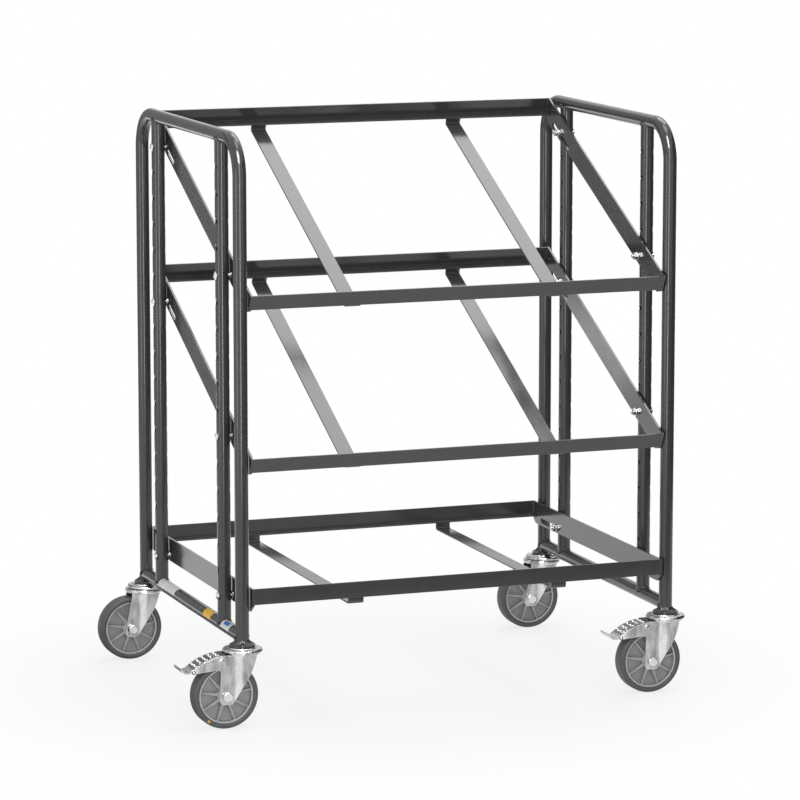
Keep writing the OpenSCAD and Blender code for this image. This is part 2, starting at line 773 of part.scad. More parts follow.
rail(top_front_hole, top_rear_hole, FRONT);  // upper_front_rail
rail(top_front_hole, top_rear_hole, REAR);  // upper_rear_rail
side_plate(top_front_hole, top_rear_hole, LEFT);  // upper_left_side
side_plate(top_front_hole, top_rear_hole, RIGHT);  // upper_right_side
slat(top_front_hole, top_rear_hole, LEFT);  // upper_left_slat
slat(top_front_hole, top_rear_hole, RIGHT);  // upper_right_slat

shelf_bolts();
shelf_washers();
shelf_nuts();
caster_heads();
king_bolts();
swivel_balls();

fork(LEFT, FRONT, true);  // front_left_fork
axle(LEFT, FRONT);  // front_left_axle
hub(LEFT, FRONT);  // front_left_hub
tyre(LEFT, FRONT);  // front_left_tyre
bush(LEFT, FRONT);  // front_left_bush
fork(RIGHT, FRONT, true);  // front_right_fork
axle(RIGHT, FRONT);  // front_right_axle
hub(RIGHT, FRONT);  // front_right_hub
tyre(RIGHT, FRONT);  // front_right_tyre
bush(RIGHT, FRONT);  // front_right_bush
fork(LEFT, REAR, false);  // rear_left_fork
axle(LEFT, REAR);  // rear_left_axle
hub(LEFT, REAR);  // rear_left_hub
tyre(LEFT, REAR);  // rear_left_tyre
bush(LEFT, REAR);  // rear_left_bush
fork(RIGHT, REAR, false);  // rear_right_fork
axle(RIGHT, REAR);  // rear_right_axle
hub(RIGHT, REAR);  // rear_right_hub
tyre(RIGHT, REAR);  // rear_right_tyre
bush(RIGHT, REAR);  // rear_right_bush

pedal(LEFT);  // front_left_pedal
pivot_pin(LEFT);  // front_left_pivot_pin
brake_shoe(LEFT);  // front_left_brake_shoe
pedal(RIGHT);  // front_right_pedal
pivot_pin(RIGHT);  // front_right_pivot_pin
brake_shoe(RIGHT);  // front_right_brake_shoe
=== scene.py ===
# Trolley for euro containers: two welded tube end frames, three container frames bolted between
# their punched posts, and four swivel casters. Sizes are metres in the frame of the CAD model.
import math

import bpy
from mathutils import Matrix, Vector


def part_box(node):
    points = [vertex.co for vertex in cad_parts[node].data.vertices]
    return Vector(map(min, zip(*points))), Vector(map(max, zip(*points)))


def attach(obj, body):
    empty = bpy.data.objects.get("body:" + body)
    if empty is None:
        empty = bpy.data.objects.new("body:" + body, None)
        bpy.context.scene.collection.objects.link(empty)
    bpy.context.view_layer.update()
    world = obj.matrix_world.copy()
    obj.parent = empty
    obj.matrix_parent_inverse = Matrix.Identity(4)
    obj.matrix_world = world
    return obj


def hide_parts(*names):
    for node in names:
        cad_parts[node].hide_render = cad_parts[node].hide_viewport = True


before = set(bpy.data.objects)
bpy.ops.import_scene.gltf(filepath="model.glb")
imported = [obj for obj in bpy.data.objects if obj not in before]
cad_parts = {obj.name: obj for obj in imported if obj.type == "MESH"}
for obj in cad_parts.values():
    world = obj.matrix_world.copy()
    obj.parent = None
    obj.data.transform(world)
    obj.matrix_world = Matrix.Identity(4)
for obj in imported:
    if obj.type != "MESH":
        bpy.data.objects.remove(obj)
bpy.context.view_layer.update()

# Camera
# A long lens from the front left, a little above the trolley's top, as in the photograph. Its
# place was worked out from the ends of the tubes and the middles of the wheels.
camera_place = (-2.6225, -7.2687, 1.7891)
camera_tilt = math.radians(80.822)
camera_heading = math.radians(-20.126)
lens_mm = 183
sensor_mm = 36
far_clip = 60
bpy.ops.object.camera_add(location=camera_place, rotation=(camera_tilt, 0, camera_heading))
camera = bpy.context.object
camera.data.lens = lens_mm
camera.data.sensor_width = sensor_mm
camera.data.clip_end = far_clip
bpy.context.scene.camera = camera

# End frames
# Each is a bow of bent steel tube, a base bar and two punched posts. They are MAG welded at
# every joint and powder coated dark grey, with a faint orange peel in the coat.
mm = 0.001


def put(tree, kind, settings=(), inputs=()):
    """Adds a node. Its inputs, by name or by number, are values or outputs of other nodes."""
    made = tree.nodes.new("ShaderNode" + kind)
    for name, value in dict(settings).items():
        setattr(made, name, value)
    for key, value in dict(inputs).items():
        if isinstance(value, bpy.types.NodeSocket):
            tree.links.new(value, made.inputs[key])
        else:
            made.inputs[key].default_value = value
    return made


def new_group(name, inputs, outputs):
    """Starts a node group with named number inputs and named outputs."""
    tree = bpy.data.node_groups.new(name, "ShaderNodeTree")
    for label, value in inputs.items():
        socket = tree.interface.new_socket(name=label, in_out="INPUT", socket_type="NodeSocketFloat")
        socket.default_value = value
    for label in outputs:
        tree.interface.new_socket(name=label, in_out="OUTPUT", socket_type="NodeSocketFloat")
    return tree, tree.nodes.new("NodeGroupInput").outputs, tree.nodes.new("NodeGroupOutput").inputs


def use_group(tree, group, values):
    """Places a node group with its own values and gives its outputs."""
    return put(tree, "Group", {"node_tree": group}, values).outputs


def maths(tree, operation, first, second=0.0):
    """The sum, product or the like of two numbers."""
    return put(tree, "Math", {"operation": operation}, {0: first, 1: second}).outputs[0]


def new_material(name):
    """A material with its nodes and its main shader."""
    material = bpy.data.materials.new(name)
    material.use_nodes = True
    return material, material.node_tree, material.node_tree.nodes["Principled BSDF"]


# Surface texture of coats, castings and mouldings: large soft patches, and a fine grain
grain, given, out = new_group(
    "surface_grain", {"Patch Scale": 20, "Grain Scale": 900, "Grain Share": 0.5}, ("Patches", "Grain")
)
spot = put(grain, "TexCoord").outputs["Object"]
patches = put(grain, "TexNoise", {}, {"Vector": spot, "Scale": given["Patch Scale"], "Detail": 3.0})
fine = put(grain, "TexNoise", {}, {"Vector": spot, "Scale": given["Grain Scale"], "Detail": 2.0})
coarse_share = 0.31
coarse = maths(grain, "MULTIPLY", given["Grain Scale"], coarse_share)
wide = put(grain, "TexNoise", {}, {"Vector": spot, "Scale": coarse, "Detail": 1.0})
mixed = put(grain, "Mix", {}, {0: given["Grain Share"], 2: wide.outputs[0], 3: fine.outputs[0]})
grain.links.new(patches.outputs[0], out["Patches"])
grain.links.new(mixed.outputs[0], out["Grain"])

# Edge wear and painted highlight: a mask that rises along the edges, where the colour is painted brighter,
# partly as rubbed wear and partly as the highlight that a rounded edge catches
edge_brightening, given, out = new_group("edge_wear_and_highlight", {"Width": 0.0015, "Reach": 0.6}, ("Edge",))
rounded = put(edge_brightening, "Bevel", {"samples": 4}, {"Radius": given["Width"]})
true_normal = put(edge_brightening, "NewGeometry").outputs["Normal"]
turn = put(edge_brightening, "VectorMath", {"operation": "DOT_PRODUCT"}, {0: rounded.outputs[0], 1: true_normal})
edge = put(edge_brightening, "MapRange", {}, {0: turn.outputs["Value"], 1: 1.0, 2: 0.75, 3: 0.0, 4: 1.0})
edge_breakup_spot = put(edge_brightening, "TexCoord").outputs["Object"]
edge_breakup = put(edge_brightening, "TexNoise", {}, {"Vector": edge_breakup_spot, "Scale": 140.0, "Detail": 3.0})
rubbed_and_highlighted = maths(edge_brightening, "MULTIPLY", edge.outputs[0], edge_breakup.outputs[0])
edge_brightening.links.new(maths(edge_brightening, "MULTIPLY", rubbed_and_highlighted, given["Reach"]), out["Edge"])

# Dust: a mask for faces that look up, broken up by soft patches
dust, given, out = new_group("dust", {"Amount": 0.3}, ("Dust",))
facing = put(dust, "SeparateXYZ", {}, {0: put(dust, "NewGeometry").outputs["Normal"]})
upward = put(dust, "MapRange", {}, {0: facing.outputs["Z"], 1: 0.5, 2: 1.0, 3: 0.0, 4: 1.0})
dust_spot = put(dust, "TexCoord").outputs["Object"]
cloud = put(dust, "TexNoise", {}, {"Vector": dust_spot, "Scale": 60.0, "Detail": 4.0})
settled = maths(dust, "MULTIPLY", upward.outputs[0], cloud.outputs[0])
dust.links.new(maths(dust, "MULTIPLY", settled, given["Amount"]), out["Dust"])


def clouded(tree, texture, low, high):
    """A value that drifts between two others with the soft patches."""
    drift = put(tree, "MapRange", {}, {0: texture["Patches"], 1: 0.3, 2: 0.7, 3: low, 4: high})
    return drift.outputs[0]


def blended(tree, share, under, over):
    """One colour laid over another by a share from 0 to 1."""
    return put(tree, "Mix", {"data_type": "RGBA"}, {0: share, 6: under, 7: over}).outputs[2]


def paint(tree, skin, colour, gloss):
    """Gives the main shader its colour and its roughness."""
    tree.links.new(colour, skin.inputs["Base Color"])
    tree.links.new(gloss, skin.inputs["Roughness"])


def emboss(tree, skin, texture, strength, depth, more=()):
    """Raises the fine grain on the surface."""
    relief = {"Strength": strength, "Distance": depth, "Height": texture["Grain"], **dict(more)}
    tree.links.new(put(tree, "Bump", {}, relief).outputs[0], skin.inputs["Normal"])


def coated(
    name, dark, light, rough, peel, patch_scale=14, grain_scale=620, dust_amount=0.12, edge_tone=2.6
):
    """A painted or moulded finish: two tones in soft patches, edges painted brighter as rubbed wear and
    painted highlight, dust and a grain.
    """
    material, tree, skin = new_material(name)
    texture = use_group(tree, grain, {"Patch Scale": patch_scale, "Grain Scale": grain_scale})
    edges = use_group(tree, edge_brightening, {"Width": 0.0012, "Reach": 0.8})
    dusty = use_group(tree, dust, {"Amount": dust_amount})
    tone = blended(tree, texture["Patches"], dark, light)
    # The edges are painted lighter: partly rubbed wear, partly a painted highlight.
    bright = tuple(min(edge_tone * c, brightest_edge) for c in light[:3]) + (1,)
    rubbed_and_highlighted = blended(tree, edges["Edge"], tone, bright)
    dulled = blended(tree, dusty["Dust"], rubbed_and_highlighted, dust_grey)
    paint(tree, skin, dulled, clouded(tree, texture, rough - rough_drift, rough + rough_drift))
    emboss(tree, skin, texture, peel, 0.0003)
    return material, tree, skin


dust_grey = (0.4, 0.4, 0.39, 1)
brightest_edge = 0.8
rough_drift = 0.03
powder_coat, _, skin = coated(
    "powder_coat", dark=(0.036, 0.036, 0.037, 1), light=(0.045, 0.045, 0.046, 1), rough=0.15, peel=0.14
)
skin.inputs["Specular IOR Level"].default_value = 0.6


def finish_node(node, material):
    """Gives a CAD node its material."""
    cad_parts[node].data.materials[0] = material


for side in ("left", "right"):
    finish_node(side + "_bow", powder_coat)
    finish_node(side + "_base_bar", powder_coat)


def middle(node):
    """The middle of a CAD node's box."""
    low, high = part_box(node)
    return (low + high) / 2


def pick(*pieces):
    """Selects these pieces alone; the last one is active."""
    bpy.ops.object.select_all(action="DESELECT")
    for piece in pieces:
        piece.select_set(True)
    bpy.context.view_layer.objects.active = pieces[-1]


def settle(piece):
    """Puts the piece's place, turn and scale into its mesh."""
    pick(piece)
    bpy.ops.object.transform_apply(location=True, rotation=True, scale=True)
    return piece


def open_mesh():
    """Starts edit mode on the active piece, with all of it selected."""
    bpy.ops.object.mode_set(mode="EDIT")
    bpy.ops.mesh.select_all(action="SELECT")


def joined(pieces):
    """Joins pieces into the last of them."""
    pick(*pieces)
    if len(pieces) > 1:
        bpy.ops.object.join()
    return bpy.context.object


def placed_copy(piece, place):
    """A copy with its own mesh, moved by a matrix."""
    pick(piece)
    bpy.ops.object.duplicate(linked=False)
    made = bpy.context.object
    made.matrix_world = place
    settle(made)
    if place.determinant() < 0:
        open_mesh()
        bpy.ops.mesh.normals_make_consistent(inside=False)
        bpy.ops.object.mode_set(mode="OBJECT")
    return made


def copies(piece, places):
    """Copies at all the places, joined to one piece; the pattern itself goes."""
    made = joined([placed_copy(piece, place) for place in places])
    bpy.data.objects.remove(piece)
    return made


def hand_over(piece, name, body, slot, material, *nodes):
    """Names a finished piece, gives it its material and hangs it on its body."""
    piece.name = name
    piece.data.name = name
    piece.data.materials.clear()
    piece.data.materials.append(material)
    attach(piece, body)
    if nodes:
        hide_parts(*nodes)
    return piece


def bead(points, width, closed=False, lump=0.16):
    """A weld bead along a row of points, with the ripples that the arc leaves."""
    bpy.ops.curve.primitive_bezier_curve_add()
    run = bpy.context.object
    run.data.splines.clear()
    line = run.data.splines.new("POLY")
    line.points.add(len(points) - 1)
    line.use_cyclic_u = closed
    for i, (knot, point) in enumerate(zip(line.points, points)):
        knot.co = (*point, 1)
        knot.radius = 1 + lump * math.sin(2.1 * i) + 0.6 * lump * math.sin(0.37 * i + 1)
    run.data.bevel_depth = width / 2
    run.data.bevel_resolution = 2
    run.data.use_fill_caps = True
    pick(run)
    bpy.ops.object.convert(target="MESH")
    bpy.ops.object.shade_smooth()
    return settle(bpy.context.object)


# The bead at a tube that ends on another tube follows the saddle where the two meet
tube_r = 12.7 * mm
seam_w = 3.6 * mm
seam_off = 0.6 * mm
saddle_dip = 3 * mm
saddle_steps = 72
saddle = []
for i in range(saddle_steps):
    a = 2 * math.pi * i / saddle_steps
    reach = tube_r + seam_off
    lift = math.hypot(tube_r * math.sin(a), saddle_dip)
    saddle.append((reach * math.cos(a), reach * math.sin(a), lift))
seam = bead(saddle, seam_w, closed=True)
downward_seam = Matrix.Rotation(math.pi, 4, "X")
for side in ("left", "right"):
    bar_low, bar_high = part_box(side + "_base_bar")
    bar_z = (bar_low.z + bar_high.z) / 2
    run_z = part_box(side + "_bow")[1].z - tube_r
    legs_low, legs_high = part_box(side + "_bow")
    frame_x = middle(side + "_base_bar").x
    places = []
    for row, way in (("front", 1), ("rear", -1)):
        post_y = middle(side + "_" + row + "_post").y
        places.append(Matrix.Translation((frame_x, post_y, bar_z)))
        places.append(Matrix.Translation((frame_x, post_y, run_z)) @ downward_seam)
        bar_end = legs_low.y + tube_r if way > 0 else legs_high.y - tube_r
        inward = Matrix.Rotation(-way * math.pi / 2, 4, "X")
        places.append(Matrix.Translation((frame_x, bar_end, bar_z)) @ inward)
    welds = joined([placed_copy(seam, place) for place in places])
    hand_over(welds, side + "_frame_welds", "frame", "powder_coat", powder_coat)
bpy.data.objects.remove(seam)

# Posts
# The same tube as the bows, with a hole through it every 50 mm. The punch came from outside and
# pressed that wall in round each hole, the inner one less. Coated with the frame.
def drawn(points):
    """A row of edges drawn by extruding one vertex from point to point."""
    bpy.ops.mesh.primitive_plane_add(size=0.001, location=points[0])
    piece = bpy.context.object
    open_mesh()
    bpy.ops.mesh.merge(type="CENTER")
    for start, end in zip(points, points[1:]):
        step = Vector(end) - Vector(start)
        bpy.ops.mesh.extrude_region_move(TRANSFORM_OT_translate={"value": step})
    bpy.ops.object.mode_set(mode="OBJECT")
    return settle(piece)


def clean_mesh():
    """In edit mode: merges doubles and turns all the faces outwards."""
    bpy.ops.mesh.select_all(action="SELECT")
    bpy.ops.mesh.remove_doubles(threshold=1e-6)
    bpy.ops.mesh.normals_make_consistent(inside=False)
    bpy.ops.object.mode_set(mode="OBJECT")


def lathe(profile, steps=96, sharp=32, closed=True):
    """A turned shape: a profile of radius and height spun about Z."""
    row = list(profile) + ([profile[0]] if closed else [])
    piece = drawn([(r, 0, z) for r, z in row])
    pick(piece)
    open_mesh()
    bpy.ops.mesh.spin(steps=steps, angle=2 * math.pi, center=(0, 0, 0), axis=(0, 0, 1))
    clean_mesh()
    bpy.ops.object.shade_smooth_by_angle(angle=math.radians(sharp))
    return piece


def modified(piece, kind, **values):
    """Adds a modifier and applies it."""
    pick(piece)
    modifier = piece.modifiers.new(kind, kind)
    for name, value in values.items():
        setattr(modifier, name, value)
    bpy.ops.object.modifier_apply(modifier=modifier.name)
    return piece


def both_sides(half):
    """A whole profile from one half, mirrored to the other side."""
    return half + [(r, -z) for r, z in reversed(half)]


hole_r = 4.5 * mm
hole_step = 50 * mm
hole_count = 17
first_hole_z = 224 * mm
outer_dent = 2.6 * mm
inner_dent = 0.9 * mm
dent_r = 9.5 * mm
ring_gap = 1.25 * mm
dent_rings = [k * ring_gap for k in range(-8, 9)]
tube_bore = 11.2 * mm
post_low, post_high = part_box("left_front_post")
hole_heights = [first_hole_z + i * hole_step for i in range(hole_count)]
ring_heights = [post_low.z] + [z + ring for z in hole_heights for ring in dent_rings] + [post_high.z]
outline = [(tube_r, z) for z in ring_heights] + [(tube_bore, post_high.z)]
outline += [(tube_bore, z + hole_step / 2) for z in reversed(hole_heights[:-1])]
outline += [(tube_bore, post_low.z)]
post = lathe(outline, steps=72, sharp=40)
for vertex in post.data.vertices:
    nearest = min(hole_heights, key=lambda z: abs(z - vertex.co.z))
    away = min(math.hypot(vertex.co.y, vertex.co.z - nearest) / dent_r, 1)
    if math.hypot(vertex.co.x, vertex.co.y) > tube_bore + mm:
        deepest = outer_dent if vertex.co.x < 0 else inner_dent
        sink = deepest * (1 - away * away * (3 - 2 * away))
        vertex.co.x -= math.copysign(min(sink, abs(vertex.co.x)), vertex.co.x)
flare_r = hole_r + 1.1 * mm
punch_profile = [(0, -tube_r - mm), (flare_r, -tube_r - mm), (flare_r, -tube_r)]
punch_profile += [(hole_r + 0.4 * mm, -tube_r + 1.3 * mm), (hole_r, -tube_r + 2.4 * mm)]
punch = lathe(both_sides(punch_profile), steps=32, closed=False)
across_post = Matrix.Rotation(math.pi / 2, 4, "Y")
punches = copies(punch, [Matrix.Translation((0, 0, z)) @ across_post for z in hole_heights])
modified(post, "BOOLEAN", operation="DIFFERENCE", object=punches, solver="EXACT")
bpy.data.objects.remove(punches)
pick(post)
bpy.ops.object.shade_smooth_by_angle(angle=math.radians(40))
for side in ("left", "right"):
    for row in ("front", "rear"):
        node = side + "_" + row + "_post"
        spot = middle(node)
        outer_side = Matrix.Rotation(0 if side == "left" else math.pi, 4, "Z")
        punched = placed_copy(post, Matrix.Translation((spot.x, spot.y, 0)) @ outer_side)
        hand_over(punched, node + "_punched", "frame", "powder_coat", powder_coat, node)
bpy.data.objects.remove(post)

# Feet
# A round plate is welded under each leg, with a thick rough bead that flares out to it. The
# caster's bolt screws into a threaded plug in the tube. All of it is coated with the frame.
plug_r = 10.6 * mm
bolt_bore_r = 6.05 * mm
feet_low, feet_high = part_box("leg_feet")
plate_t = 5 * mm
plate_r = 24 * mm


def bend(centre, radius, start, end, steps=5):
    """Points of an arc in degrees, for a profile."""
    angles = [math.radians(start + (end - start) * i / steps) for i in range(steps + 1)]
    return [(centre[0] + radius * math.cos(a), centre[1] + radius * math.sin(a)) for a in angles]


weld_top = 8 * mm
plate_ease = 1 * mm
plug_top = feet_high.z - feet_low.z
foot_profile = (
    [(bolt_bore_r, 0), (plate_r - plate_ease, 0)]
    + bend((plate_r - plate_ease, plate_ease), plate_ease, -90, 0, 3)
    + bend((plate_r - plate_ease, plate_t - plate_ease), plate_ease, 0, 90, 3)
    + [(plate_r - 3 * mm, plate_t)]
    + [(plate_r - 4 * mm, plate_t + 0.9 * mm), (plate_r - 6 * mm, plate_t + 1.7 * mm)]
    + [(tube_r + 3 * mm, plate_t + 3.4 * mm), (tube_r + 1.6 * mm, plate_t + 5.4 * mm)]
    + [(tube_r + 0.5 * mm, plate_t + weld_top), (tube_r + 0.05 * mm, plate_t + weld_top)]
    + [(tube_r + 0.05 * mm, plate_t), (plug_r, plate_t)]
    + [(plug_r, plug_top), (bolt_bore_r, plug_top)]
)
foot = lathe(foot_profile, steps=144, sharp=50)
# The weld's lumps: three waves round the leg, the finest one twisted with the radius
lump_up = 0.35 * mm
lump_out = 0.3 * mm
for vertex in foot.data.vertices:
    r = math.hypot(vertex.co.x, vertex.co.y)
    on_weld = plate_t + 0.5 * mm < vertex.co.z < plate_t + weld_top - 0.1 * mm
    if on_weld and r > tube_r + 1 * mm:
        a = math.atan2(vertex.co.y, vertex.co.x)
        lump = math.sin(19 * a) + 0.7 * math.sin(7 * a + 1) + 0.9 * math.sin(41 * a + r * 900)
        vertex.co.z += lump_up * lump
        vertex.co.x += lump_out * lump * math.cos(a)
        vertex.co.y += lump_out * lump * math.sin(a)
corners = ("front_left", "rear_left", "front_right", "rear_right")
leg_y = 307.5 * mm


def leg_foot(corner):
    """Where the axis of a leg, and of the caster below it, meets the floor."""
    row, side = corner.split("_")
    return Vector((middle(side + "_base_bar").x, -leg_y if row == "front" else leg_y, 0))


above_floor = Vector((0, 0, feet_low.z))
feet = copies(foot, [Matrix.Translation(leg_foot(corner) + above_floor) for corner in corners])
# The feet's coat is darker and patchier than the frame's, and its edges are painted five times lighter as
# glint highlights.
weld_coat, _, _ = coated(
    "coated_weld", dark=(0.014, 0.014, 0.015, 1), light=(0.05, 0.05, 0.051, 1), rough=0.17,
    peel=1.0, patch_scale=220, grain_scale=380, dust_amount=0.2, edge_tone=5
)
hand_over(feet, "weld_feet", "frame", "powder_coat", weld_coat, "leg_feet")

# Container frames
# Three frames, all alike: two angle bars and two flat bars on edge, welded at the corners, with
# two flat slats below whose ends are bent up to the bars. Coated like the end frames.
def eased(piece, width, segments=2, sharp=30):
    """Rounds the sharp edges of a piece and keeps its flat faces flat."""
    modified(piece, "BEVEL", width=width, segments=segments, limit_method="ANGLE",
             angle_limit=math.radians(sharp), use_clamp_overlap=True)
    pick(piece)
    bpy.ops.object.shade_smooth_by_angle(angle=math.radians(50))
    return modified(piece, "WEIGHTED_NORMAL", keep_sharp=True)


def worked_copy(node, width, segments=2, flat=0.4):
    """A copy of a CAD node, its triangles merged to whole faces and its edges rounded."""
    piece = bpy.data.objects.new(node + "_shape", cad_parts[node].data.copy())
    bpy.context.scene.collection.objects.link(piece)
    pick(piece)
    bpy.ops.mesh.customdata_custom_splitnormals_clear()
    open_mesh()
    bpy.ops.mesh.remove_doubles(threshold=2e-6)
    bpy.ops.mesh.dissolve_limited(angle_limit=math.radians(flat))
    bpy.ops.object.mode_set(mode="OBJECT")
    return eased(piece, width, segments)


edge_ease = 0.7 * mm
# The heights of each frame's front and rear bolt, in metres
hung = {"lower": (0.224, 0.224), "middle": (0.524, 0.724), "upper": (0.824, 1.024)}
middle_x = (middle("left_base_bar").x + middle("right_base_bar").x) / 2
post_half = 200 * mm
plate_in = 405.6 * mm
rail_face = -124 * mm
rail_t = 3 * mm
flange = 20 * mm
flange_low = 4.5 * mm
rail_top = 34.5 * mm
slat_x = 202.8 * mm
slat_half = 13 * mm
slat_in = -110 * mm


def run_of_weld(start, end, width, lump):
    """A straight bead from one point to another, one ripple to a millimetre or so."""
    count = max(4, int((Vector(end) - Vector(start)).length / (0.9 * mm)))
    return bead([Vector(start).lerp(Vector(end), i / count) for i in range(count + 1)], width, lump=lump)


# The beads inside, below and at the face of a rail's end, and at a slat's end: both ends of each,
# its width and how much it ripples
inner_y = rail_face + rail_t
outer_y = rail_face + 0.3 * mm
lip_y = rail_face + flange - mm
runs = (
    ((plate_in, inner_y, flange_low + rail_t + mm), (plate_in, inner_y, rail_top - 2 * mm), 4 * mm, 0.16),
    ((plate_in, rail_face + mm, flange_low), (plate_in, lip_y, flange_low), 3.4 * mm, 0.16),
    ((plate_in, outer_y, flange_low + mm), (plate_in, outer_y, rail_top - mm), 1.5 * mm, 0.1),
    ((slat_x - slat_half, slat_in, flange_low), (slat_x + slat_half, slat_in, flange_low), 3 * mm, 0.16),
)
corner_beads = joined([run_of_weld(*run) for run in runs])
to_left = Matrix.Scale(-1, 4, (1, 0, 0))
to_rear = Matrix.Translation((0, 2 * post_half, 0)) @ Matrix.Scale(-1, 4, (0, 1, 0))
half_beads = joined([corner_beads, placed_copy(corner_beads, to_left)])
frame_beads = joined([half_beads, placed_copy(half_beads, to_rear)])
for level, (front_z, rear_z) in hung.items():
    lean = Matrix.Rotation(math.atan2(rear_z - front_z, 2 * post_half), 4, "X")
    welds = placed_copy(frame_beads, Matrix.Translation((middle_x, -post_half, front_z)) @ lean)
    hand_over(welds, level + "_corner_welds", "frame", "powder_coat", powder_coat)
    for part in ("front_rail", "rear_rail", "left_side", "right_side", "left_slat", "right_slat"):
        node = level + "_" + part
        bar = worked_copy(node, edge_ease)
        hand_over(bar, node + "_bar", "frame", "powder_coat", powder_coat, node)
bpy.data.objects.remove(frame_beads)

# Shelf fasteners
# Twelve zinc plated bolts hang the container frames in the holes of the posts. Their low round
# heads are outside; washers lie on both sides of each side plate, and the nuts are inside.
zinc, tree, skin = new_material("zinc")
texture = use_group(tree, grain, {"Patch Scale": 45, "Grain Scale": 700})
edges = use_group(tree, edge_brightening, {"Width": 0.0024, "Reach": 1.9})
object_spot = put(tree, "TexCoord").outputs["Object"]
spangle = put(tree, "TexVoronoi", {}, {"Vector": object_spot, "Scale": 520.0})
# Noise stretched upright gives a soft bump, and in the colour it gives painted reflection streaks
waves = put(tree, "Mapping", {}, {"Vector": object_spot, "Scale": (70.0, 70.0, 25.0)})
streak_noise = put(tree, "TexNoise", {}, {"Vector": waves.outputs[0], "Scale": 1.0, "Detail": 2.5})
# Painted highlights: the colour is lighter in bands, one of them down the nose of each fork
highlight_band_count = 10
highlight_band_at = middle("left_base_bar").x - 14 * mm
highlight_band_edge = 0.72
highlight_band_lift = 0.5
frame_gap = middle("right_base_bar").x - middle("left_base_bar").x
across = put(tree, "SeparateXYZ", {}, {0: object_spot})
from_highlight_band = maths(tree, "SUBTRACT", across.outputs["X"], highlight_band_at)
turns = maths(tree, "MULTIPLY", from_highlight_band, highlight_band_count * 2 * math.pi / frame_gap)
wave = maths(tree, "COSINE", turns)
lit = put(tree, "MapRange", {"interpolation_type": "SMOOTHSTEP"},
          {0: wave, 1: highlight_band_edge, 2: 1.0, 3: 0.0, 4: highlight_band_lift})
painted_reflection = maths(tree, "ADD", lit.outputs[0], streak_noise.outputs[0])


def two_tone(tree, value, low, dark, high, light):
    """Colours that go from dark to light as a value goes from low to high."""
    tone = put(tree, "ValToRGB", {}, {0: value})
    for stop, position, colour in zip(tone.color_ramp.elements, (low, high), (dark, light)):
        stop.position = position
        stop.color = colour
    return tone.outputs[0]


# The colour goes from dark to light with the painted highlight bands and reflection streaks
tone = two_tone(tree, painted_reflection, 0.3, (0.26, 0.263, 0.268, 1), 1.0, (0.78, 0.785, 0.79, 1))
mottled = put(tree, "Mix", {"data_type": "RGBA", "blend_type": "OVERLAY"},
              {0: 0.1, 6: tone, 7: spangle.outputs["Color"]})
grey = put(tree, "HueSaturation", {}, {"Saturation": 0.12, "Color": mottled.outputs[2]})
# Painted highlight: the cut edges are painted near white.
cut_edge_highlight = (0.9, 0.9, 0.91, 1)
rubbed_and_highlighted = blended(tree, edges["Edge"], grey.outputs[0], cut_edge_highlight)
paint(tree, skin, rubbed_and_highlighted, clouded(tree, texture, 0.2, 0.3))
soft = put(tree, "Bump", {}, {"Strength": 1.0, "Distance": 0.0022, "Height": streak_noise.outputs[0]})
emboss(tree, skin, texture, 0.08, 0.0003, {"Normal": soft.outputs[0]})
skin.inputs["Metallic"].default_value = 1.0


def hexagon(across, low, high, top_chamfer=True, bottom_chamfer=False, bore=0.0):
    """A hexagon bolt head or nut: a six-sided bar turned down to a cone at its ends."""
    corner_r = across / 2 / math.cos(math.pi / 6)
    bpy.ops.mesh.primitive_cylinder_add(
        vertices=6, radius=corner_r, depth=high - low, location=(0, 0, (low + high) / 2)
    )
    bar = settle(bpy.context.object)
    slope = 0.5
    over = corner_r * 1.1
    flat_r = across / 2 * 0.94
    drop = (over - flat_r) * slope
    profile = [(bore, low - mm)] if bore else [(0, low - mm)]
    profile += [(flat_r, low), (over, low + drop)] if bottom_chamfer else [(over, low - mm)]
    profile += [(over, high - drop), (flat_r, high)] if top_chamfer else [(over, high + mm)]
    profile += [(bore, high + (0 if top_chamfer else mm))]
    if bottom_chamfer:
        profile[0] = (bore, low)
    turned = lathe(profile, steps=48)
    pick(bar)
    modified(bar, "BOOLEAN", operation="INTERSECT", object=turned, solver="EXACT")
    bpy.data.objects.remove(turned)
    bpy.ops.object.shade_smooth_by_angle(angle=math.radians(20))
    return bar


def thread(radius, low, high, pitch=1.25 * mm):
    """A threaded end, turned with ridges, and a chamfer at its tip."""
    depth = 0.6 * pitch
    profile = [(0, low), (radius - depth, low), (radius - depth, low + 0.1 * mm)]
    z = low + 0.1 * mm
    while z + pitch < high - 0.6 * mm:
        profile += [(radius, z + pitch * 0.45), (radius, z + pitch * 0.55), (radius - depth, z + pitch)]
        z += pitch
    profile += [(radius - depth, high - 0.5 * mm), (radius - 1.2 * depth, high), (0, high)]
    return lathe(profile, steps=32, closed=False)


def bolt_places():
    """The middle of each carrying hole, turned so that Z points out of the trolley."""
    places = []
    for side, way in (("left", -1), ("right", 1)):
        x = middle(side + "_base_bar").x
        for front_z, rear_z in hung.values():
            for y, z in ((-post_half, front_z), (post_half, rear_z)):
                places.append(Matrix.Translation((x, y, z)) @ Matrix.Rotation(way * math.pi / 2, 4, "Y"))
    return places


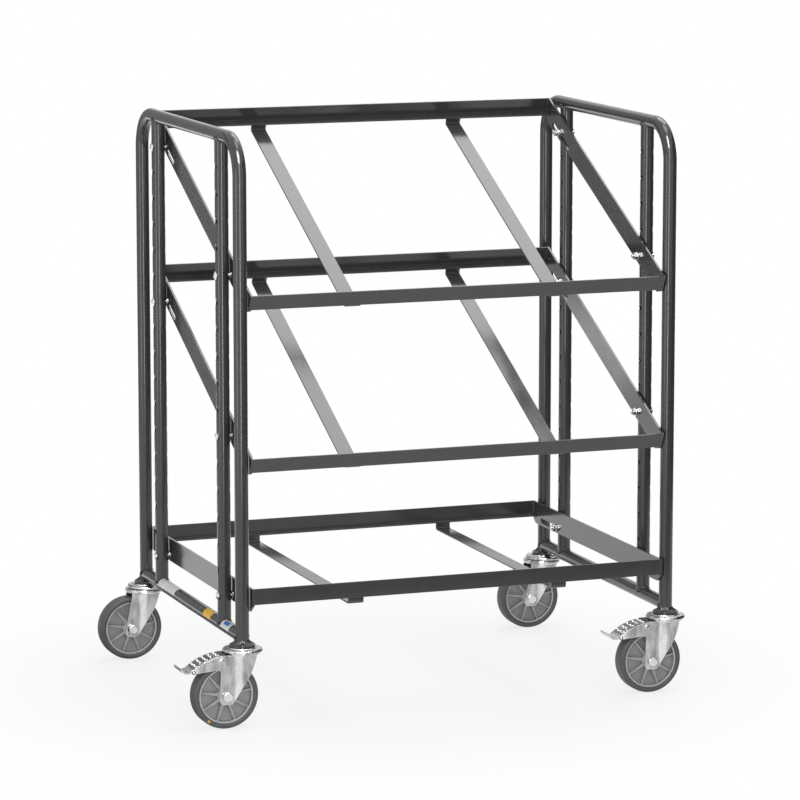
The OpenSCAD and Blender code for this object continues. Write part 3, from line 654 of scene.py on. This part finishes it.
bolt_r = 4 * mm
hex_w = 13 * mm
head_r = 8 * mm
head_h = 3.5 * mm
washer_t = 1.6 * mm
plate_face = tube_r + 5.7 * mm
nut_face = plate_face + washer_t + 0.05 * mm
nut_h = 6.5 * mm
bolt_end = nut_face + nut_h + 3 * mm
dome = [(0, head_h), (2.6 * mm, head_h - 0.25 * mm), (4.6 * mm, head_h - 0.95 * mm)]
dome += [(6.3 * mm, head_h - 2 * mm), (7.5 * mm, 0.75 * mm)]
dome += [(head_r, 0.35 * mm), (head_r - 0.2 * mm, 0), (0, 0)]
head = lathe([(r, tube_r + z) for r, z in dome], 64, closed=False)
shank_top = tube_r + mm
shank_outline = [(0, -nut_face), (bolt_r, -nut_face), (bolt_r, shank_top), (0, shank_top)]
shank = lathe(shank_outline, 32, closed=False)
tip = thread(bolt_r, 0, bolt_end - nut_face)
tip.matrix_world = Matrix.Translation((0, 0, -nut_face)) @ Matrix.Rotation(math.pi, 4, "X")
settle(tip)
bolts = copies(joined([head, shank, tip]), bolt_places())
hand_over(bolts, "round_head_bolts", "frame", "zinc", zinc, "shelf_bolts")

bore_r = 4.05 * mm
washer_r = 8 * mm
washer_ease = 0.2 * mm
hair = 0.05 * mm
ring = [(bore_r, 0), (washer_r - washer_ease, 0), (washer_r, washer_ease)]
ring += [(washer_r, washer_t - washer_ease), (washer_r - washer_ease, washer_t), (bore_r, washer_t)]
outer_washer = lathe([(r, z - tube_r - washer_t - hair) for r, z in ring], 48)
inner_washer = lathe([(r, z - nut_face) for r, z in ring], 48)
washers = copies(joined([outer_washer, inner_washer]), bolt_places())
hand_over(washers, "plate_washers", "frame", "zinc", zinc, "shelf_washers")

nut = hexagon(hex_w, -nut_face - nut_h - hair, -nut_face - hair, True, True, bore_r)
nuts = copies(nut, bolt_places())


def zinc_tone(name, dark, light):
    """A copy of the plating with its colour painted lighter or darker."""
    plating = zinc.copy()
    plating.name = name
    for node in plating.node_tree.nodes:
        if node.bl_idname == "ShaderNodeValToRGB":
            node.color_ramp.elements[0].color = (dark, dark, dark * 1.015, 1)
            node.color_ramp.elements[1].color = (light, light, light * 1.01, 1)
    return plating


# The nuts get a darker copy of the plating.
hand_over(nuts, "hexagon_nuts", "frame", "zinc", zinc_tone("darker_zinc", 0.12, 0.4), "shelf_nuts")

# Caster heads
# A pressed steel cup sits on each foot plate's underside, with a raised middle, a step and a
# rolled rim round the row of balls. Zinc plated.
caster_h = 150 * mm
cup_r = 37.58 * mm
cup_t = 2.6 * mm
cup_h = 8.4 * mm
step_r = 26.6 * mm
step_ease = 0.9 * mm
step_drop = 1.8 * mm
shoulder_r = 4.6 * mm
cup_rim_ease = cup_t / 2
cup_inside = -3 * mm
cup_profile = (
    [(bolt_bore_r, 0), (step_r, 0)]
    + bend((step_r, -step_ease), step_ease, 80, 10, 3)
    + bend((29 * mm, -step_ease), step_ease, 200, 265, 3)
    + bend((cup_r - shoulder_r, -step_drop - shoulder_r), shoulder_r, 90, 0, 8)
    + bend((cup_r - cup_rim_ease, cup_rim_ease - cup_h), cup_rim_ease, 0, -180, 6)
    + [(cup_r - cup_t, -6 * mm), (cup_r - cup_t - 2 * mm, -4.3 * mm)]
    + [(28 * mm, cup_inside), (bolt_bore_r, cup_inside)]
)
cup = lathe(cup_profile, steps=128, sharp=40)
under_plate = Vector((0, 0, caster_h))
cups = copies(cup, [Matrix.Translation(leg_foot(corner) + under_plate) for corner in corners])
hand_over(cups, "pressed_heads", "frame", "zinc", zinc, "caster_heads")
finish_node("king_bolts", zinc)

# Swivel balls
# A full row of hardened and polished balls runs between the cup and the fork's crown.
steel, tree, skin = new_material("bearing_steel")
texture = use_group(tree, grain, {"Patch Scale": 120, "Grain Scale": 1500})
edges = use_group(tree, edge_brightening, {"Width": 0.0008, "Reach": 0.4})
tone = blended(tree, texture["Patches"], (0.4, 0.4, 0.41, 1), (0.55, 0.55, 0.56, 1))
# Painted highlight and wear: the balls' edges are painted lighter.
rubbed_and_highlighted = blended(tree, edges["Edge"], tone, (0.7, 0.7, 0.7, 1))
gloss = put(tree, "MapRange", {}, {0: texture["Grain"], 1: 0.3, 2: 0.7, 3: 0.18, 4: 0.3})
paint(tree, skin, rubbed_and_highlighted, gloss.outputs[0])
skin.inputs["Metallic"].default_value = 1.0
finish_node("swivel_balls", steel)

# Forks
# Bent from one sheet: a round nose in front, two legs down to the axle and a flat crown. Those of
# the two braked casters carry arms at the back. Zinc plated, with a painted highlight along the cut edges.
fork_ease = 0.9 * mm
for corner in corners:
    fork = worked_copy(corner + "_fork", fork_ease, 3)
    hand_over(fork, corner + "_bent_fork", corner + "_caster", "zinc", zinc, corner + "_fork")

# The crown of a fork without a brake is pressed to a round dish that reaches back over the wheel
dish_r = 37.4 * mm
dish_back = -5.5 * mm
dish_top = caster_h - 9.2 * mm
dish_t = 2.3 * mm
dish_h = 7.2 * mm
dish_hole_r = 23 * mm
dish_bend = 3.6 * mm
dish_ease = 0.4 * mm
dish_profile = (
    [(dish_hole_r, 0), (dish_r - dish_bend, 0)]
    + bend((dish_r - dish_bend, -dish_bend), dish_bend, 90, 0, 6)
    + [(dish_r, dish_ease - dish_h), (dish_r - dish_ease, -dish_h), (dish_r - dish_t, -dish_h)]
    + bend((dish_r - dish_bend, -dish_bend), dish_bend - dish_t, 0, 90, 4)
    + [(dish_hole_r, -dish_t)]
)
dish = lathe(dish_profile, steps=96, sharp=40)
for corner in ("rear_left", "rear_right"):
    place = Matrix.Translation(leg_foot(corner) + Vector((dish_back, 0, dish_top)))
    hand_over(placed_copy(dish, place), corner + "_crown_dish", corner + "_caster", "zinc", zinc)
bpy.data.objects.remove(dish)

# Axles
# A hexagon bolt through both legs of the fork and the wheel's bush, with a nut at the rear side.
axle_face = 22 * mm
axle_r = 5 * mm
axle_hex = 16 * mm
collar_t = 0.45 * mm
axle_end = axle_face + 6 * mm
wheel_z = 62.5 * mm
trail = 36 * mm
to_front = Matrix.Rotation(math.pi / 2, 4, "X")


def on_axle(corner):
    """A wheel's place: its axis along Z before, with Z to the front after."""
    return Matrix.Translation(leg_foot(corner) + Vector((-trail, 0, wheel_z))) @ to_front


head = hexagon(axle_hex, axle_face + 0.4 * mm, axle_face + 6.4 * mm)
collar_top = axle_face + collar_t
collar_outline = [(axle_r, axle_face), (7.6 * mm, axle_face), (7.6 * mm, collar_top), (axle_r, collar_top)]
collar = lathe(collar_outline, 48)
back_nut = hexagon(axle_hex, -axle_face - 8.05 * mm, -axle_face - hair, True, True, axle_r + hair)
rod_outline = [(0, -axle_end), (axle_r, -axle_end), (axle_r, axle_face + mm), (0, axle_face + mm)]
rod = lathe(rod_outline, 48, closed=False)
end = thread(axle_r, 0, 4 * mm, 1.5 * mm)
end.matrix_world = Matrix.Translation((0, 0, -axle_end)) @ Matrix.Rotation(math.pi, 4, "X")
settle(end)
pattern = joined([head, collar, back_nut, rod, end])
# Painted highlight: the axle bolts get a lighter copy of the plating.
highlight_zinc = zinc_tone("highlight_zinc", 0.6, 0.88)
for corner in corners:
    axle = placed_copy(pattern, on_axle(corner))
    hand_over(axle, corner + "_axle_bolt", corner + "_caster", "zinc", highlight_zinc, corner + "_axle")
    finish_node(corner + "_bush", steel)
bpy.data.objects.remove(pattern)

# Tyres
# Moulded grey rubber with rounded shoulders, a shallow step beside the rim and the thin ridge
# that the mould's halves leave round the middle.
rubber, _, _ = coated(
    "tyre_rubber", dark=(0.066, 0.066, 0.068, 1), light=(0.094, 0.094, 0.096, 1), rough=0.55,
    peel=0.35, patch_scale=35, grain_scale=1100, dust_amount=0.2, edge_tone=1.5
)
wheel_r = 62.5 * mm
rim_r = 52 * mm
tyre_half = 16 * mm
shoulder = 5.5 * mm
tread_r = wheel_r - 0.1 * mm
tyre_half_profile = (
    [(rim_r, tyre_half - 1.2 * mm), (rim_r + 0.8 * mm, tyre_half - 0.9 * mm)]
    + [(rim_r + 1.6 * mm, tyre_half - 0.2 * mm), (rim_r + 2.4 * mm, tyre_half)]
    + [(wheel_r - shoulder - 0.4 * mm, tyre_half)]
    + bend((wheel_r - shoulder - 0.2 * mm, tyre_half - shoulder), shoulder, 88, 4, 9)
    + [(tread_r, 5 * mm), (tread_r, 0.5 * mm), (wheel_r, 0.15 * mm)]
)
pattern = lathe(both_sides(tyre_half_profile), steps=160, sharp=35)
for corner in corners:
    tyre = placed_copy(pattern, on_axle(corner))
    hand_over(tyre, corner + "_rubber_tyre", corner + "_wheel", "tyre_rubber", rubber, corner + "_tyre")
bpy.data.objects.remove(pattern)

# Wheel hubs
# Moulded grey plastic: a rim, a thin web with nine tapered ribs on each side, and a boss for the
# bush. The rim's outer edge stands bare beside the tyre; it, the boss and the ribs' edges are painted
# lighter as highlights.
plastic, tree, skin = coated(
    "hub_plastic", dark=(0.25, 0.252, 0.258, 1), light=(0.4, 0.402, 0.408, 1), rough=0.42,
    peel=0.2, patch_scale=380, grain_scale=1300, dust_amount=0.12, edge_tone=1.5
)


def lighter_where_marked(tree, skin, mark, light):
    """Lightens the colour by a number that the mesh carries at each point."""
    marked = put(tree, "Attribute", {"attribute_name": mark}).outputs["Fac"]
    under = skin.inputs["Base Color"].links[0].from_socket
    tree.links.new(blended(tree, marked, under, light), skin.inputs["Base Color"])


def mark_points(piece, mark, value_at):
    """Gives each point of the mesh a number from 0 to 1."""
    layer = piece.data.attributes.new(mark, "FLOAT", "POINT")
    for vertex in piece.data.vertices:
        layer.data[vertex.index].value = value_at(vertex.co)


# Painted highlights: the marked points are painted lighter
lighter_where_marked(tree, skin, "painted_highlight", (0.62, 0.62, 0.63, 1))
hub_r = 51.95 * mm
rim_half = 13.5 * mm
rim_in = 49 * mm
web_half = 2.5 * mm
boss_r = 16 * mm
boss_half = 17.9 * mm
bush_bore = 10.05 * mm
bore_ease = 0.4 * mm
boss_ease = 0.7 * mm
web_fillet = 2 * mm
lip_ease = 0.8 * mm
rim_ease = 0.5 * mm
groove_floor = boss_half - 0.8 * mm
hub_half_profile = (
    [(bush_bore, boss_half - bore_ease), (bush_bore + bore_ease, boss_half), (13 * mm, boss_half)]
    + [(13.3 * mm, groove_floor), (14.2 * mm, groove_floor), (14.5 * mm, boss_half)]
    + bend((boss_r - boss_ease, boss_half - boss_ease), boss_ease, 90, 0, 3)
    + bend((boss_r + web_fillet, web_half + web_fillet), web_fillet, 180, 270, 4)
    + bend((rim_in - web_fillet, web_half + web_fillet), web_fillet, -90, 0, 4)
    + bend((rim_in + lip_ease, rim_half - lip_ease), lip_ease, 180, 90, 4)
    + bend((hub_r - rim_ease, rim_half - rim_ease), rim_ease, 90, 0, 3)
)
body = lathe(both_sides(hub_half_profile), steps=144, sharp=35)
rib_half = 11.9 * mm
rib_count = 9


def prism(outline, low, high):
    """A flat outline in X and Y, drawn, filled and extruded along Z."""
    piece = drawn([(x, y, low) for x, y in outline])
    pick(piece)
    open_mesh()
    bpy.ops.mesh.edge_face_add()
    bpy.ops.mesh.extrude_region_move(TRANSFORM_OT_translate={"value": (0, 0, high - low)})
    clean_mesh()
    return piece


rib_root = (boss_r - mm, 3 * mm)
rib_tip = (rim_in + mm, 1.4 * mm)
rib_plan = [(rib_root[0], -rib_root[1]), (rib_tip[0], -rib_tip[1]), rib_tip, rib_root]
rib = prism(rib_plan, -rib_half, rib_half)
eased(rib, 0.7 * mm, 3)
rib_turns = [math.radians(90 + 360 * i / rib_count) for i in range(rib_count)]
ribs = copies(rib, [Matrix.Rotation(turn, 4, "Z") for turn in rib_turns])
pattern = joined([ribs, body])


def hub_highlight(point):
    """Painted highlights: the rim's bare edge is the lightest, then the boss, then the ribs' edges."""
    r = math.hypot(point.x, point.y)
    depth = abs(point.z)
    if r > rim_in + 0.1 * mm and depth > rim_half - 0.9 * mm:
        return rim_highlight
    if r < boss_r + 0.2 * mm and depth > boss_half - 1 * mm:
        return boss_highlight
    return rib_highlight if depth > rib_half - 0.3 * mm and r < rim_in - mm else 0.0


rim_highlight = 0.85
boss_highlight = 0.5
rib_highlight = 0.32
mark_points(pattern, "painted_highlight", hub_highlight)
for corner in corners:
    hub = placed_copy(pattern, on_axle(corner))
    hand_over(hub, corner + "_ribbed_hub", corner + "_wheel", "hub_plastic", plastic, corner + "_hub")
bpy.data.objects.remove(pattern)

# Brakes
# A pressed pedal with raised studs against slipping and an upturned lip rocks on a riveted pin
# and pushes a shoe on to the tyre. Zinc plated, the shoe of bare steel. The pedal's plating is painted
# darker as shade, with painted highlights on the studs and the lip.
arch_r = 108 * mm
arch_x = -34 * mm
arch_z = caster_h - 9.5 * mm - arch_r
pin_x = -47 * mm
pin_z = 129.5 * mm
# The studs stand in staggered rows along the pedal's arch, each turned against its neighbours
stud_rows = 5
first_row = math.radians(10)
last_row = math.radians(34)
stud_r = 2.6 * mm
stud_shape = (1.3, 0.55, 0.5)
stud_gap = 7.2 * mm
stud_turn = math.radians(48)
tread_half = 15.5 * mm
bpy.ops.mesh.primitive_uv_sphere_add(segments=12, ring_count=6, radius=stud_r)
stud = bpy.context.object
stud.scale = stud_shape
settle(stud)
bpy.ops.object.shade_smooth()
studs_at = []
for i in range(stud_rows):
    a = first_row + (last_row - first_row) * i / (stud_rows - 1)
    for j in range(-2, 3):
        y = (j + 0.5 * (i % 2)) * stud_gap
        if abs(y) < tread_half:
            on_arch = (arch_x - arch_r * math.sin(a), y, arch_z + arch_r * math.cos(a))
            turn = Matrix.Rotation(stud_turn if (i + j) % 2 else -stud_turn, 4, "Z")
            studs_at.append(Matrix.Translation(on_arch) @ Matrix.Rotation(-a, 4, "Y") @ turn)
studs = copies(stud, studs_at)
# Painted highlight: the studs' colour is painted light.
mark_points(studs, "painted_highlight", lambda point: 1.0)
shaded_tread_zinc, tree, skin = new_material("shaded_tread_zinc")
texture = use_group(tree, grain, {"Patch Scale": 420, "Grain Scale": 900})
edges = use_group(tree, edge_brightening, {"Width": 0.0012, "Reach": 1.4})
# Painted shade and reflections: the pedal's plating is darker than the rest, in blotches from near black to
# mid grey, with its edges painted lighter as highlight and wear.
tone = two_tone(tree, texture["Patches"], 0.38, (0.07, 0.07, 0.072, 1), 0.62, (0.42, 0.425, 0.43, 1))
paint(tree, skin, blended(tree, edges["Edge"], tone, cut_edge_highlight), clouded(tree, texture, 0.32, 0.2))
lighter_where_marked(tree, skin, "painted_highlight", (0.86, 0.865, 0.87, 1))
emboss(tree, skin, texture, 0.3, 0.0004)
skin.inputs["Metallic"].default_value = 1.0
lip_from = -101 * mm
lip_highlight = 0.65
pedal_ease = 0.4 * mm
rivet_end = -24.05 * mm
rivet_half_profile = (
    [(0, rivet_end), (2.2 * mm, rivet_end + 0.15 * mm), (4 * mm, rivet_end + 0.8 * mm)]
    + [(4.9 * mm, rivet_end + 1.7 * mm), (5 * mm, rivet_end + 2 * mm), (3 * mm, rivet_end + 2 * mm)]
)
rivet = lathe(both_sides(rivet_half_profile), 48, sharp=50, closed=False)
# A stop for the pedal is riveted through the tips of the fork's arms, on washers coloured near black
near_black, _, _ = coated(
    "near_black_steel", dark=(0.012, 0.012, 0.012, 1), light=(0.02, 0.02, 0.02, 1), rough=0.35,
    peel=0.2, patch_scale=300, grain_scale=900, dust_amount=0.05, edge_tone=3
)
fork_half = 22 * mm
tip_x = -100.4 * mm
tip_z = 112.1 * mm
tip_t = 0.9 * mm
tip_hole_r = 1.2 * mm
tip_shank_r = 1.15 * mm
tip_outline = [(tip_hole_r, 0), (3.6 * mm, 0), (3.6 * mm, 0.6 * mm), (3.3 * mm, tip_t), (tip_hole_r, tip_t)]
tip_washer = lathe(tip_outline, 32)
tip_dome = [(2.1 * mm, 0.95 * mm), (2.1 * mm, 1.2 * mm), (1.7 * mm, 1.8 * mm), (0.9 * mm, 2.2 * mm)]
tip_rivet_outline = [(0, 0), (tip_shank_r, 0), (tip_shank_r, tip_t), *tip_dome, (0, 2.3 * mm)]
tip_rivet = lathe(tip_rivet_outline, 32, closed=False)


def lip_highlighted(point):
    """The pedal's lip gets a painted highlight."""
    return lip_highlight if point.x - foot_of_axis.x < lip_from else 0.0


for corner in ("front_left", "front_right"):
    foot_of_axis = leg_foot(corner)
    sheet = worked_copy(corner + "_pedal", pedal_ease)
    mark_points(sheet, "painted_highlight", lip_highlighted)
    raised = placed_copy(studs, Matrix.Translation(foot_of_axis))
    pedal = joined([raised, sheet])
    hand_over(pedal, corner + "_studded_pedal", corner + "_brake", "zinc", shaded_tread_zinc, corner + "_pedal")
    place = Matrix.Translation(foot_of_axis + Vector((pin_x, 0, pin_z))) @ to_front
    pin = placed_copy(rivet, place)
    hand_over(pin, corner + "_rivet", corner + "_caster", "zinc", zinc, corner + "_pivot_pin")
    finish_node(corner + "_brake_shoe", steel)
    tips = []
    for way in (-1, 1):
        turn_out = Matrix.Rotation(-way * math.pi / 2, 4, "X")
        tips.append(Matrix.Translation(foot_of_axis + Vector((tip_x, way * fork_half, tip_z))) @ turn_out)
    for pattern, name, finish in ((tip_washer, "_tip_washers", near_black), (tip_rivet, "_tip_rivets", zinc)):
        pair = joined([placed_copy(pattern, place) for place in tips])
        hand_over(pair, corner + name, corner + "_caster", "zinc", finish)
for pattern in (studs, rivet, tip_washer, tip_rivet):
    bpy.data.objects.remove(pattern)

# Labels
# Three plain stickers lie round the left base bar: two of bare white film, one of them with a
# blue field, and a yellow one. The front left tyre bears a small dot of yellow paint.
def film(name, light, shade):
    """Thin film: an almost even tone with faint clouds, and small dents from the coat."""
    material, tree, skin = new_material(name)
    texture = use_group(tree, grain, {"Patch Scale": 90, "Grain Scale": 700})
    tone = blended(tree, texture["Patches"], light, shade)
    paint(tree, skin, tone, clouded(tree, texture, 0.33, 0.46))
    emboss(tree, skin, texture, 0.15, 0.0002)
    return material


white_film = film("white_film", (0.8, 0.8, 0.79, 1), (0.7, 0.7, 0.69, 1))
yellow_film = film("yellow_film", (0.85, 0.52, 0.02, 1), (0.78, 0.45, 0.02, 1))
blue_film = film("blue_film", (0.03, 0.14, 0.42, 1), (0.04, 0.18, 0.5, 1))


def sticker(start, end, low, high, lift):
    """A patch of film round the base bar, between two angles seen along the bar."""
    patch = drawn([(x, start, z) for x, z in bend((0, 0), tube_r + lift, low, high, film_steps)])
    pick(patch)
    open_mesh()
    bpy.ops.mesh.extrude_region_move(TRANSFORM_OT_translate={"value": (0, end - start, 0)})
    clean_mesh()
    modified(patch, "SOLIDIFY", thickness=film_t, offset=0.0)
    bar_middle = middle("left_base_bar")
    patch.matrix_world = Matrix.Translation((bar_middle.x, 0, bar_middle.z))
    settle(patch)
    bpy.ops.object.shade_smooth_by_angle(angle=math.radians(40))
    return patch


film_t = 0.12 * mm
film_steps = 24
on_coat = 0.1 * mm
on_film = 0.3 * mm
# Each patch has its span along the bar in mm, its angles round the bar, and its height above it
for name, span, angles, lift, finish in (
    ("long_white_label", (80, 187), (88, 176), on_coat, white_film),
    ("yellow_label", (-150, -104), (92, 178), on_coat, yellow_film),
    ("short_white_label", (-262, -213), (88, 176), on_coat, white_film),
    ("blue_field", (-251, -224), (104, 142), on_film, blue_film),
):
    patch = sticker(span[0] * mm, span[1] * mm, *angles, lift)
    hand_over(patch, name, "frame", "powder_coat", finish)

dot_r = 2.5 * mm
bpy.ops.mesh.primitive_circle_add(vertices=32, radius=dot_r, fill_type="NGON")
dot = bpy.context.object
open_mesh()
bpy.ops.mesh.inset(thickness=0.5 * mm, depth=0.12 * mm)
bpy.ops.object.mode_set(mode="OBJECT")
dot_turn = math.radians(233)
dot_out = 57 * mm
on_tyre = Vector((dot_out * math.cos(dot_turn), dot_out * math.sin(dot_turn), tyre_half + 0.02 * mm))
dot.matrix_world = on_axle("front_left") @ Matrix.Translation(on_tyre)
settle(dot)
hand_over(dot, "front_left_tyre_dot", "front_left_wheel", "tyre_rubber", yellow_film)

# Floor and light
# A plain white studio floor that fades into the background, under two large soft lights. A tall
# one near the camera draws the line along the tubes, a bright high one lights up their bends, and a
# low one stands at the left. Cards and cloths round the trolley are seen in mirrored light alone.
floor_r = 14
bpy.ops.mesh.primitive_circle_add(vertices=128, radius=floor_r, fill_type="NGON", location=(0, 0, 0))
floor = bpy.context.object
floor.name = "studio_floor"
paper, tree, skin = new_material("studio_paper")
skin.inputs["Roughness"].default_value = 0.9
skin.inputs["Specular IOR Level"].default_value = 0.1
skin.inputs["Base Color"].default_value = (0.94, 0.94, 0.94, 1)


def seen_share(tree):
    """1 for the rays that show the studio, straight or mirrored, and 0 for those that light it."""
    path = put(tree, "LightPath").outputs
    seen = maths(tree, "MAXIMUM", path["Is Camera Ray"], path["Is Glossy Ray"])
    return maths(tree, "MAXIMUM", seen, path["Is Transmission Ray"])


# The floor keeps the trolley's shadow near it and turns to plain white further out
shadow_r = 0.45
white_r = 1.05
white_share = 0.78
spot = put(tree, "TexCoord").outputs["Object"]
away = put(tree, "VectorMath", {"operation": "LENGTH"}, {0: spot})
fade = put(tree, "MapRange", {"interpolation_type": "SMOOTHSTEP"},
           {0: away.outputs["Value"], 1: shadow_r, 2: white_r, 3: white_share, 4: 1.0})
amount = maths(tree, "MULTIPLY", fade.outputs[0], seen_share(tree))
white = put(tree, "Emission", {}, {"Color": (1, 1, 1, 1), "Strength": 1.0})
both = put(tree, "MixShader", {}, {0: amount, 1: skin.outputs[0], 2: white.outputs[0]})
tree.links.new(both.outputs[0], tree.nodes["Material Output"].inputs["Surface"])
floor.data.materials.append(paper)

world = bpy.data.worlds.new("studio")
bpy.context.scene.world = world
world.use_nodes = True
tree = world.node_tree
room_level = 0.46
level = put(tree, "MapRange", {}, {0: seen_share(tree), 1: 0.0, 2: 1.0, 3: room_level, 4: 1.0})
tree.links.new(level.outputs[0], tree.nodes["Background"].inputs["Strength"])
tree.nodes["Background"].inputs["Color"].default_value = (1, 1, 1, 1)


def softbox(name, place, aim, width, height, radiance):
    """A rectangular lamp that looks at a point; its radiance is that of its white cloth."""
    turn = (Vector(aim) - Vector(place)).to_track_quat("-Z", "Y")
    bpy.ops.object.light_add(type="AREA", location=place, rotation=turn.to_euler())
    lamp = bpy.context.object
    lamp.name = name
    lamp.data.shape = "RECTANGLE"
    lamp.data.size = width
    lamp.data.size_y = height
    lamp.data.energy = radiance * math.pi * width * height
    lamp.visible_camera = False
    return lamp


trolley_middle = (0, 0, 0.6)
softbox("top_softbox", (1.36, 1.7, 4.0), trolley_middle, width=2.4, height=1.8, radiance=3.3)
softbox("overhead_softbox", (0.3, -0.4, 4.2), trolley_middle, width=1.7, height=1.5, radiance=3.6)
softbox("front_softbox", (-0.95, -2.6, 1.25), (0, 0, 1.25), width=0.5, height=2.4, radiance=6.0)
softbox("left_softbox", (-3.0, -0.9, 0.7), (0, 0, 0.7), width=0.7, height=1.3, radiance=3.0)
# These three are seen in mirrored light alone: in the tubes' bends, and in the side plates
for glow in (
    softbox("high_front_softbox", (-0.75, -2.2, 3.3), (-0.3, 0, 1.0), width=1.2, height=1.7, radiance=24.0),
    softbox("low_back_card", (-0.5, 1.5, 0.01), (-0.5, 1.5, 1.0), width=2.2, height=1.6, radiance=0.3),
    softbox("far_back_card", (-0.85, 3.9, 0.01), (-0.85, 3.9, 1.0), width=1.5, height=1.6, radiance=1.0),
):
    glow.visible_diffuse = False


def cloth(name, tone):
    """A dull cloth that darkens what the metal mirrors."""
    material, tree, skin = new_material(name)
    skin.inputs["Base Color"].default_value = (tone, tone, tone, 1)
    skin.inputs["Roughness"].default_value = 0.95
    return material


def unseen(sheet, name, material):
    """Leaves a cloth visible in mirrored light alone."""
    sheet.name = name
    sheet.data.materials.append(material)
    sheet.visible_camera = False
    sheet.visible_diffuse = False
    sheet.visible_shadow = False


def flag(name, start, end, low, high, material):
    """An upright cloth from one point on the floor plan to another."""
    a = Vector((*start, 0))
    b = Vector((*end, 0))
    bpy.ops.mesh.primitive_plane_add(size=1)
    sheet = bpy.context.object
    sheet.scale = ((b - a).length, high - low, 1)
    sheet.rotation_euler = (math.pi / 2, 0, math.atan2(b.y - a.y, b.x - a.x))
    sheet.location = (*((a + b) / 2).xy, (low + high) / 2)
    unseen(settle(sheet), name, material)


black_cloth = cloth("black_cloth", 0.02)
grey_cloth = cloth("grey_cloth", 0.5)
dark_cloth = cloth("dark_cloth", 0.25)
flag("right_flag", (2.0, -2.6), (2.6, 1.6), low=0.0, high=2.4, material=black_cloth)
flag("back_left_flag", (-2.6, 2.0), (-0.95, 2.856), low=0.0, high=2.7, material=grey_cloth)
flag("back_middle_flag", (-0.95, 2.856), (0.1, 3.4), low=0.32, high=2.7, material=grey_cloth)
# Two mats lie on the floor: in front for the rails and forks, and beside the left base bar
mat_z = 2 * mm
for name, place, size in (
    ("front_mat", (1.6, -3.65), (4.4, 4.8)),
    ("rear_mat", (-0.7, 0.12), (0.6, 0.85)),
):
    bpy.ops.mesh.primitive_plane_add(size=1, location=(*place, mat_z))
    mat = bpy.context.object
    mat.scale = (*size, 1)
    unseen(settle(mat), name, dark_cloth)

bpy.context.scene.view_settings.view_transform = "Standard"
